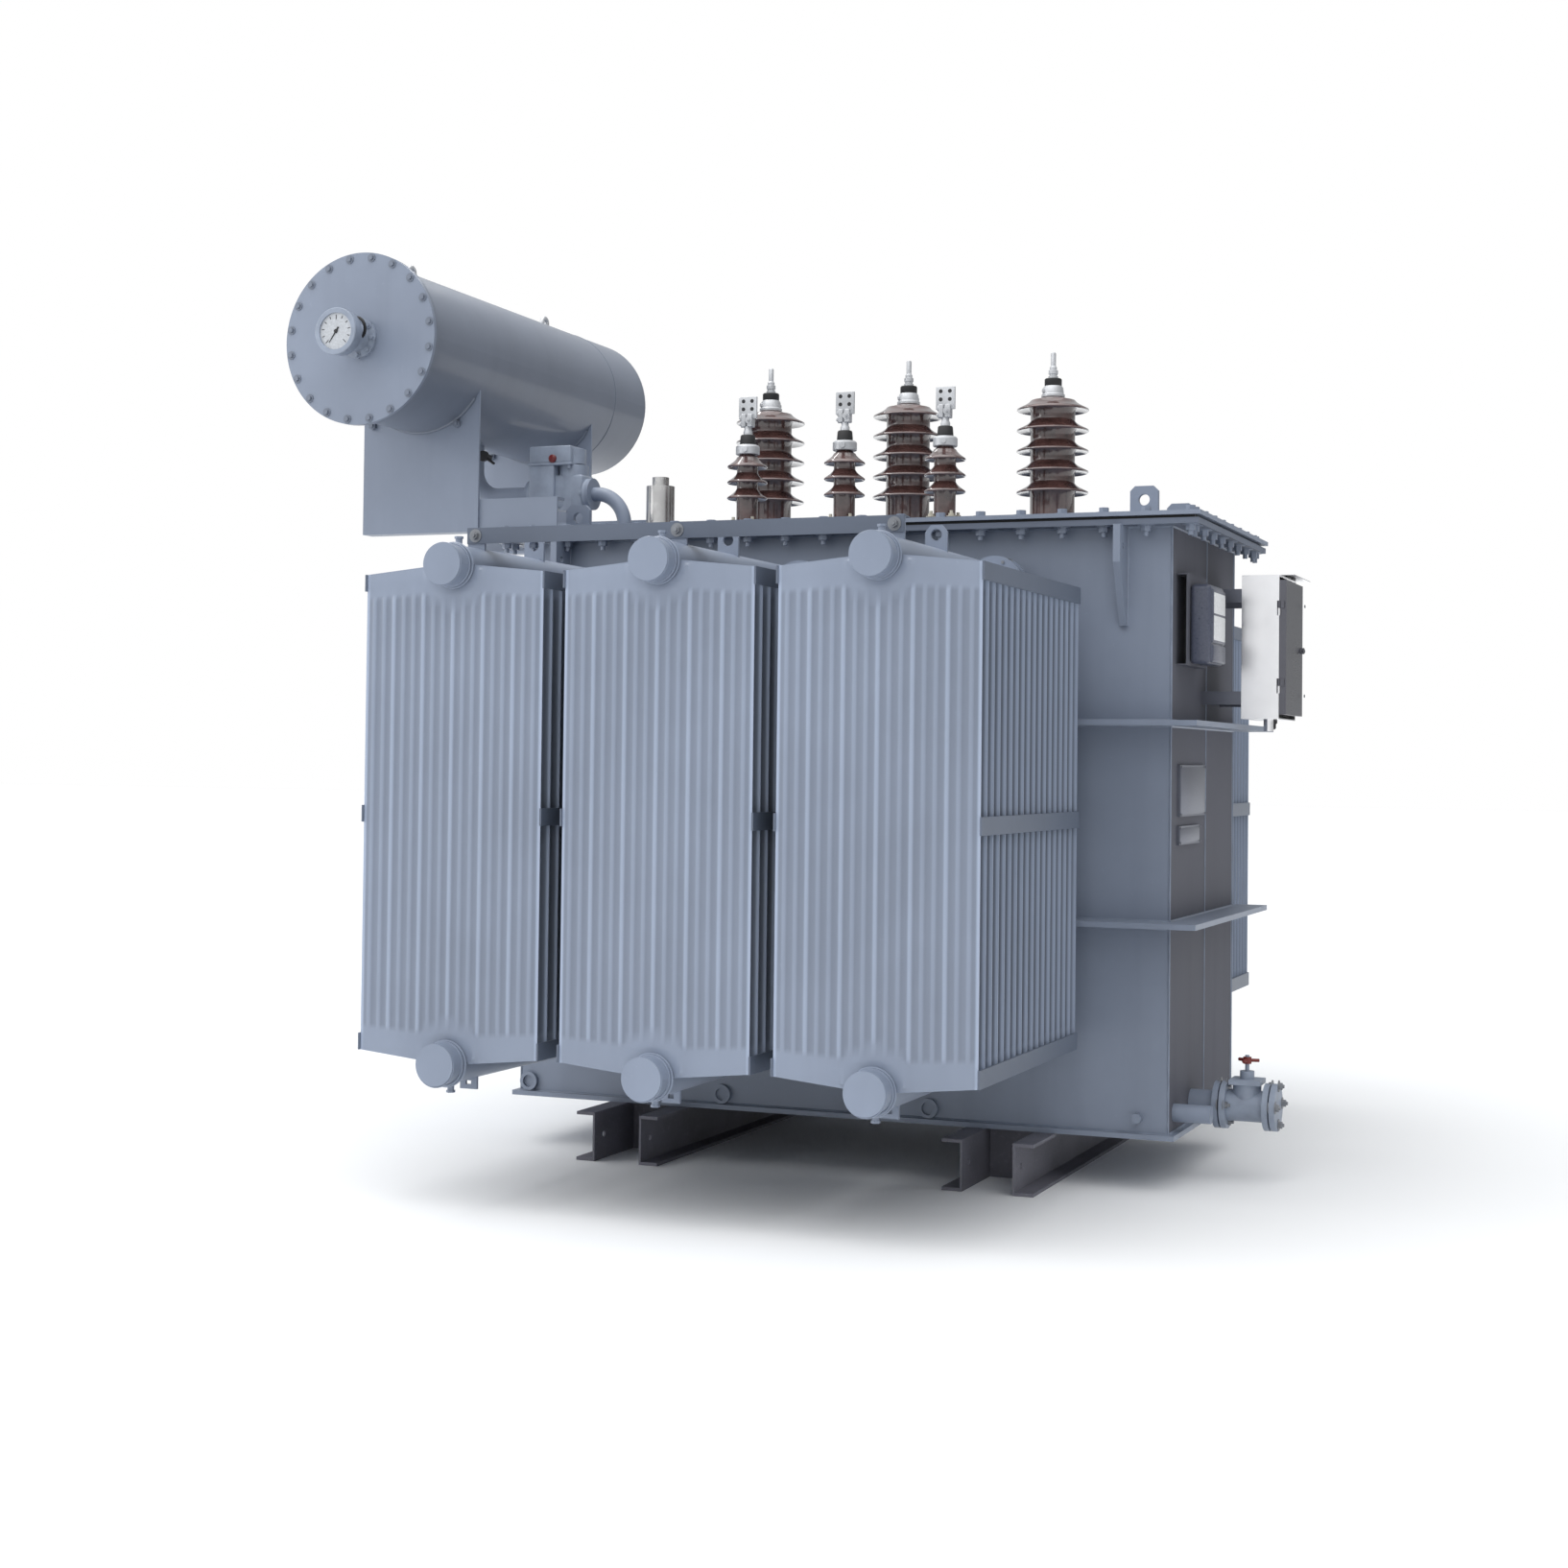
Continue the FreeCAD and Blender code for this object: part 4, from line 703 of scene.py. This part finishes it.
def bushings():
    top = boxOf("tank_cover")[1].z
    for kind, node in (("high", "hv_porcelains"), ("low", "lv_porcelains")):
        bm = bmesh.new()
        for low, high in solidsOf(node):
            x, y = (low.x + high.x) / 2, (low.y + high.y) / 2
            turned(bm, porcelainProfile(sheds[kind]), (x, y, top), "z", 64)
        addPiece("glazed_" + kind, bm, "glaze", replaces=(node,), smooth=50)


bushings()


# Metal heads: cap, black ring, nuts and rod on the tall ones, clamp and drilled flag on the short ones
flag = {"half": 29, "halfThick": 4, "low": 110, "high": 176, "edge": 0.8,
        "holeX": 14, "holeLevels": (139, 163), "holeRadius": 6, "holeHalf": 4.2}


def heads():
    cap = bmesh.new()
    ring = bmesh.new()
    stud = bmesh.new()
    for low, high in solidsOf("hv_terminals"):
        x, y, z = (low.x + high.x) / 2, (low.y + high.y) / 2, low.z
        turned(cap, [(0, 0), (34, 0), (36, 2), (36, 9), (33, 12), (31, 30), (27, 36), (0, 36)], (x, y, z))
        turned(ring, [(0, 36), (25, 36), (26.5, 39), (26.5, 56), (24, 59), (0, 59)], (x, y, z), steps=32)
        turned(stud, [(0, 59), (15, 59), (15, 66), (12, 68), (12, 72), (14.5, 73), (14.5, 84), (11, 86),
                      (11, 94), (8, 98), (8, 136), (6.5, 139), (0, 139)], (x, y, z), steps=24)
        for angle in (0.9, 3.9):
            out = Vector((math.cos(angle), math.sin(angle), 0))
            hexBolt(cap, Vector((x, y, z + 20)) + out * 29, out, 12, 5, 0.0)
    for low, high in solidsOf("lv_terminals"):
        x, y, z = (low.x + high.x) / 2, (low.y + high.y) / 2, low.z
        turned(cap, [(0, 0), (34, 0), (36, 2), (36, 24), (33, 28), (26, 31), (0, 31)], (x, y, z))
        hexBolt(cap, (x + 6, y - 33, z + 14), (0.1, -1, 0), 17, 5, 0.0)
        turned(ring, [(0, 31), (22, 31), (24, 34), (22, 57), (20, 60), (0, 60)], (x, y, z), steps=32)
        turned(stud, [(0, 60), (14, 60), (14, 70), (11, 76), (11, 86), (0, 86)], (x, y, z), steps=24)
        slab(stud, (x - 18, y - 14, z + 84), (x - 3, y + 12, z + 124), 2.5)
        slab(stud, (x + 2, y - 14, z + 84), (x + 18, y + 12, z + 124), 2.5)
        slab(stud, (x - 16, y - 6, z + 88), (x + 16, y + 6, z + 120), 1.0)
        for height in (94, 112):
            hexBolt(stud, (x - 18, y - 2, z + height), (-1, 0, 0), 11, 4, 1.0, 3)
        hexBolt(stud, (x + 8, y - 14, z + 104), (0, -1, 0), 11, 4, 1.0, 3)
        slab(stud, (x - flag["half"], y - flag["halfThick"], z + flag["low"]),
             (x + flag["half"], y + flag["halfThick"], z + flag["high"]), flag["edge"])
    addPiece("bushing_caps", cap, "cap", replaces=("hv_terminals", "lv_terminals"),
             edge=0.6)
    addPiece("bushing_rings", ring, "rubber")
    addPiece("bushing_studs", stud, "cap")
    # dark discs stand in for the holes in the flags; their black is painted shade
    holes = bmesh.new()
    deep = Vector((0, flag["holeHalf"], 0))
    for low, high in solidsOf("lv_terminals"):
        x, y = (low.x + high.x) / 2, (low.y + high.y) / 2
        for side in (-1, 1):
            for height in flag["holeLevels"]:
                spot = Vector((x + side * flag["holeX"], y, low.z + height))
                rod(holes, spot - deep, spot + deep, flag["holeRadius"], sides=16)
    addPiece("flag_holes", holes, "inkAndHoleShade")


heads()


# Hold-down rings and cream clamps at the foot of each bushing
feet = {"hv_porcelains": {"circle": 84, "clamps": 6}, "lv_porcelains": {"circle": 44, "clamps": 4}}


def bushingFeet():
    rings = bmesh.new()
    bolts = bmesh.new()
    top = boxOf("tank_cover")[1].z
    for node, foot in feet.items():
        radius, count = foot["circle"], foot["clamps"]
        for low, high in solidsOf(node):
            x, y = (low.x + high.x) / 2, (low.y + high.y) / 2
            turned(rings, [(radius - 22, 0), (radius + 20, 0), (radius + 20, 9), (radius - 6, 11),
                           (radius - 22, 11)], (x, y, top), steps=40)
            for k in range(count):
                turn = math.tau * (k + 0.5) / count
                out = Vector((math.cos(turn), math.sin(turn), 0))
                spot = Vector((x, y, top + 11)) + out * radius
                rod(bolts, spot + Vector((0, 0, 8)), spot + Vector((0, 0, 30)), 5, sides=10)
                hexBolt(bolts, spot + Vector((0, 0, 12)), (0, 0, 1), 15, 8, 1.0)
    addPiece("bushing_flanges", rings, "tank")
    addPiece("flange_nuts", bolts, "cream")


bushingFeet()
print("bushings done")


# Conservator: cover bolts, seams, lifting rings, and bolts and welds of the saddles.
# A support bolt is (sideways from the drum's middle, up from its axis).
drum = {"radius": 232, "bolts": 20, "boltCircle": 240, "seamY": 400, "coverSeam": 36,
        "ringRadius": 17, "ringThick": 8.0, "ringDrop": 25, "footSpread": 15,
        "supportBolts": ((-171, -204), (130, -210)),
        "saddleFrom": -145, "saddleSweep": 110, "saddleSteps": 16, "saddleBead": 5, "saddleHalf": 9}


def drumCoverBolts(x, front, z):
    bolts = bmesh.new()
    for k in range(drum["bolts"]):
        turn = math.tau * (k + 0.5) / drum["bolts"]
        out = Vector((math.cos(turn), 0, math.sin(turn)))
        spot = Vector((x, front, z)) + out * drum["boltCircle"]
        hexBolt(bolts, spot, (0, -1, 0), 13, 6)
        hexBolt(bolts, spot + Vector((0, 24, 0)), (0, 1, 0), 13, 7, 1.0, 4)
    addPiece("drum_bolts", bolts, "drum")


def drumRings(x, z):
    rings = bmesh.new()
    for low, high in solidsOf("drum_eyes"):
        y = (low.y + high.y) / 2
        ringBead(rings, (x, y, high.z - drum["ringDrop"]), "x", drum["ringRadius"], drum["ringThick"],
                 steps=32, sides=12)
        for side in (-1, 1):
            foot = (x, y + side * drum["footSpread"], z + drum["radius"] - 2)
            head = (x, y + side * (drum["footSpread"] + 1), high.z - drum["ringDrop"] + 3)
            rod(rings, foot, head, drum["ringThick"], sides=12)
    addPiece("drum_rings", rings, "cap", replaces=("drum_eyes",))


def drumSaddles(x, z):
    pads = bmesh.new()
    turns = [math.radians(drum["saddleFrom"] + drum["saddleSweep"] * k / drum["saddleSteps"])
             for k in range(drum["saddleSteps"] + 1)]
    for low, high in solidsOf("conservator_supports"):
        for out, level in drum["supportBolts"]:
            hexBolt(pads, (x + out, low.y, z + level), (0, -1, 0), 22, 10, 0.0, 6)
            hexBolt(pads, (x + out, high.y, z + level), (0, 1, 0), 22, 10, 0.0)
        middle = (low.y + high.y) / 2
        for way in (-drum["saddleHalf"], drum["saddleHalf"]):
            bead = [(x + drum["radius"] * math.cos(turn), middle + way, z + drum["radius"] * math.sin(turn))
                    for turn in turns]
            for start, end in zip(bead, bead[1:]):
                rod(pads, start, end, drum["saddleBead"], sides=8)
    addPiece("drum_saddles", pads, "drum")


def conservator():
    low, high = boxOf("conservator_shell")
    x = (low.x + high.x) / 2
    coverLow, coverHigh = boxOf("conservator_cover")
    z = (coverLow.z + coverHigh.z) / 2
    front = coverLow.y
    drumCoverBolts(x, front, z)
    beads = bmesh.new()
    ringBead(beads, (x, drum["seamY"], z), "y", drum["radius"], 1.2, 96)
    ringBead(beads, (x, front + drum["coverSeam"], z), "y", drum["radius"], 2.5, 96)
    addPiece("drum_seams", beads, "drum")
    drumRings(x, z)
    drumSaddles(x, z)


conservator()


# Level gauge: flanged neck, dial, marks and pointer
gauge = {"flange": 60, "neck": 34, "face": 54, "marks": 11, "firstMark": 225, "markStep": 27,
         "markFrom": 48, "longMark": 13, "shortMark": 8, "pointer": 235, "pointerReach": 40,
         "pointerTail": 14}


def levelGauge():
    low, high = boxOf("level_gauge")
    x, z, front = (low.x + high.x) / 2, (low.z + high.z) / 2, low.y
    reach = high.y - low.y
    flange, neck, face = gauge["flange"], gauge["neck"], gauge["face"]
    body = bmesh.new()
    turned(body, [(0, reach), (flange, reach), (flange, reach - 10), (40, reach - 11), (neck, reach - 24),
                  (neck, 70), (44, 62), (58, 52), (66, 40), (66, 12), (69, 10), (69, 2), (67, 0),
                  (face, 0), (face, 5), (0, 5)], (x, front, z), "y", 64)
    boltRing(body, (x, high.y - 10, z), (0, -1, 0), radius=51, count=8, flats=12, tall=6)
    addPiece("gauge_body", body, "cast", replaces=("level_gauge",))
    disc = bmesh.new()
    rod(disc, (x, front + 4.6, z), (x, front + 5.4, z), face, sides=64)
    addPiece("gauge_face", disc, "dial")
    marks = bmesh.new()
    for k in range(gauge["marks"]):
        turn = math.radians(gauge["firstMark"] - gauge["markStep"] * k)
        out = Vector((math.cos(turn), 0, math.sin(turn)))
        long = gauge["longMark"] if k % 5 == 0 else gauge["shortMark"]
        start = Vector((x, front + 4.2, z)) + out * gauge["markFrom"]
        rod(marks, start, start - out * long, 1.0, sides=6)
    turn = math.radians(gauge["pointer"])
    out = Vector((math.cos(turn), 0, math.sin(turn)))
    pivot = Vector((x, front + 3.5, z))
    rod(marks, pivot - out * gauge["pointerTail"], pivot + out * gauge["pointerReach"], 2.6, 0.8, 8)
    rod(marks, (x, front + 2, z), (x, front + 5, z), 6, sides=20)
    addPiece("gauge_marks", marks, "inkAndHoleShade")
    handle = bmesh.new()
    ringBead(handle, (x + 18, front + 92, z + 24), (0.3, 1, 0.2), 30, 4.5, 32, 8)
    addPiece("gauge_handle", handle, "rubber")


levelGauge()
print("conservator done")


# Gas relay, its button and the small black lever beside it
relay = {"headEnd": -972, "level": 1994, "screws": (-1050, -984), "lever": (-1281, -200, 2120)}


def gasRelay():
    low, high = boxOf("gas_relay")
    midY, midZ = (low.y + high.y) / 2, relay["level"]
    body = bmesh.new()
    slab(body, (low.x + 10, midY - 44, midZ - 46), (high.x - 10, midY + 44, midZ + 60), 10)
    slab(body, (low.x + 12, midY - 56, midZ - 20), (low.x + 100, midY + 56, midZ + 91), 4)
    rod(body, (high.x - 62, midY, midZ - 52), (high.x - 62, midY, midZ + 92), 46, sides=40)
    slab(body, (low.x + 9, midY - 59, midZ + 90), (relay["headEnd"], midY + 59, midZ + 98), 1.5)
    slab(body, (low.x + 12, midY - 57, midZ + 97), (relay["headEnd"] - 4, midY + 57, midZ + 151), 5)
    rod(body, (high.x - 70, midY, midZ + 96), (high.x - 70, midY, midZ + 144), 44, sides=40)
    for side in (-1, 1):
        for x in (low.x + 20, *relay["screws"]):
            rod(body, (x, midY + side * 50, midZ + 78), (x, midY + side * 50, midZ + 100), 6, sides=10)
            hexBolt(body, (x, midY + side * 50, midZ + 97), (0, 0, 1), 13, 6, 0.0)
    for x, way in ((low.x, 1), (high.x, -1)):
        turned(body, [(0, 0), (50, 0), (50, way * 10), (0, way * 10)], (x, midY, midZ), "x", 40)
        boltRing(body, (x + way * 10, midY, midZ), (way, 0, 0), radius=40, count=4, flats=14,
                 tall=8, first=0.5, stud=4)
    addPiece("relay_casting", body, "cast", replaces=("gas_relay",), edge=0.8)
    knob = bmesh.new()
    turned(knob, [(0, 0), (13, 0), (13, 6), (9, 9), (0, 10)], (low.x + 97, low.y + 4, midZ + 110),
           (0, -1, 0), 24)
    addPiece("relay_button", knob, "knob")
    lever = bmesh.new()
    spot = Vector(relay["lever"])
    rod(lever, spot + Vector((0, 34, 0)), spot, 9, sides=16)
    rod(lever, spot, spot - Vector((0, 14, 0)), 17, sides=20)
    rod(lever, spot - Vector((0, 8, 0)), spot + Vector((40, -8, -26)), 6, 4, 12)
    addPiece("relay_lever", lever, "rubber")


gasRelay()


# Control cabinet, thermometer, plates
def cabinetDetails():
    low, high = boxOf("cabinet_door")
    metal = bmesh.new()
    for z in (low.z + 60, (low.z + high.z) / 2, high.z - 60):
        hexBolt(metal, (high.x - 4, high.y - 16, z), (1, 0, 0), 8, 2.5, 0.0)
    addPiece("door_screws", metal, "zinc", body="door")
    low, high = boxOf("cabinet_body")
    gland = bmesh.new()
    x, y = (low.x + high.x) / 2 - 10, (low.y + high.y) / 2
    turned(gland, [(0, 0), (17, 0), (17, -10), (13, -12), (13, -24), (9, -28), (0, -28)],
           (x, y, low.z + 34), "z", 6)
    addPiece("cabinet_gland", gland, "rubber")


def thermometer():
    low, high = boxOf("thermometer_housing")
    body = bmesh.new()
    slab(body, low + Vector((0, 2, 0)), high - Vector((8, 2, 0)), 12)
    addPiece("thermometer_case", body, "case", replaces=("thermometer_housing",))
    bezel = bmesh.new()
    glass = bmesh.new()
    slab(bezel, (high.x - 14, low.y + 12, low.z + 58), (high.x - 3, high.y - 12, high.z - 12), 5)
    for under, over in ((low.z + 66, high.z - 86), (high.z - 80, high.z - 22)):
        slab(glass, (high.x - 6, low.y + 22, under), (high.x - 1.5, high.y - 22, over), 2)
    slab(bezel, (high.x - 20, low.y + 10, low.z + 4), (high.x - 2, high.y - 10, low.z + 54), 5)
    addPiece("thermometer_bezels", bezel, "case")
    addPiece("thermometer_windows", glass, "white")


def namePlates():
    frames = bmesh.new()
    for low, high in solidsOf("rating_plates"):
        slab(frames, (high.x - 1, low.y + 6, low.z + 6), (high.x + 1.2, high.y - 6, high.z - 6), 0.4)
        for y in (low.y + 5, high.y - 5):
            for z in (low.z + 5, high.z - 5):
                hexBolt(frames, (high.x, y, z), (1, 0, 0), 6, 2, 0.0)
    addPiece("plate_faces", frames, "plate")


cabinetDetails()
thermometer()
namePlates()


# Drain valve and its lobed handwheel
wheel = {"middle": 41, "lobe": 5, "lobes": 6, "steps": 72, "rimWide": 15, "thick": 10,
         "spokes": 3, "spokeTurn": 0.4, "spokeReach": 34, "spokeRadius": 5}
valve = {"level": 212, "flange": 16, "circle": 54, "bolts": 4}


def drainWheel():
    low, high = boxOf("drain_handwheel")
    x, y, z = (low + high) / 2
    body = bmesh.new()
    ring = []
    for k in range(wheel["steps"]):
        turn = math.tau * k / wheel["steps"]
        reach = wheel["middle"] + wheel["lobe"] * math.cos(turn * wheel["lobes"])
        ring.append(body.verts.new((x + reach * math.cos(turn), y + reach * math.sin(turn), low.z + 4)))
    face = body.faces.new(ring)
    bmesh.ops.inset_region(body, faces=[face], thickness=wheel["rimWide"])
    bmesh.ops.delete(body, geom=[face], context="FACES_ONLY")
    bmesh.ops.solidify(body, geom=body.faces[:], thickness=wheel["thick"])
    for k in range(wheel["spokes"]):
        turn = math.tau * k / wheel["spokes"] + wheel["spokeTurn"]
        out = Vector((math.cos(turn), math.sin(turn), 0))
        end = Vector((x, y, z - 1)) + out * wheel["spokeReach"]
        rod(body, (x, y, z), end, wheel["spokeRadius"], sides=10)
    turned(body, [(0, -10), (12, -10), (12, 9), (0, 9)], (x, y, z), "z", 24)
    addPiece("wheel_rim", body, "red", body="handwheel",
             replaces=("drain_handwheel",), edge=1.2)


def valveBolts():
    bolts = bmesh.new()
    low, high = boxOf("drain_valve")
    y, z = (low.y + high.y) / 2, valve["level"]
    ring = {"radius": valve["circle"], "count": valve["bolts"], "flats": 17, "tall": 9, "first": 0.5}
    for x, way in ((low.x, 1), (high.x, -1)):
        boltRing(bolts, (x + way * valve["flange"], y, z), (way, 0, 0), stud=8, **ring)
        boltRing(bolts, (x, y, z), (-way, 0, 0), stud=5, **ring)
    addPiece("drain_bolts", bolts, "zinc")


drainWheel()
valveBolts()


# Bolts in the tie bars; those of the front bar sit off the middle
ties = {"frontShift": -60, "pitch": 583}


def tieBolts():
    bolts = bmesh.new()
    for low, high in solidsOf("tie_bars"):
        way = -1 if low.y < 0 else 1
        face = low.y if way < 0 else high.y
        shift = ties["frontShift"] if way < 0 else 0
        for k in (-1, 0, 1):
            spot = (shift + ties["pitch"] * k, face, (low.z + high.z) / 2)
            hexBolt(bolts, spot, (0, way, 0), 18, 9, 1.0, 5)
    addPiece("tie_bolts", bolts, "zinc")


tieBolts()
print("fittings done")
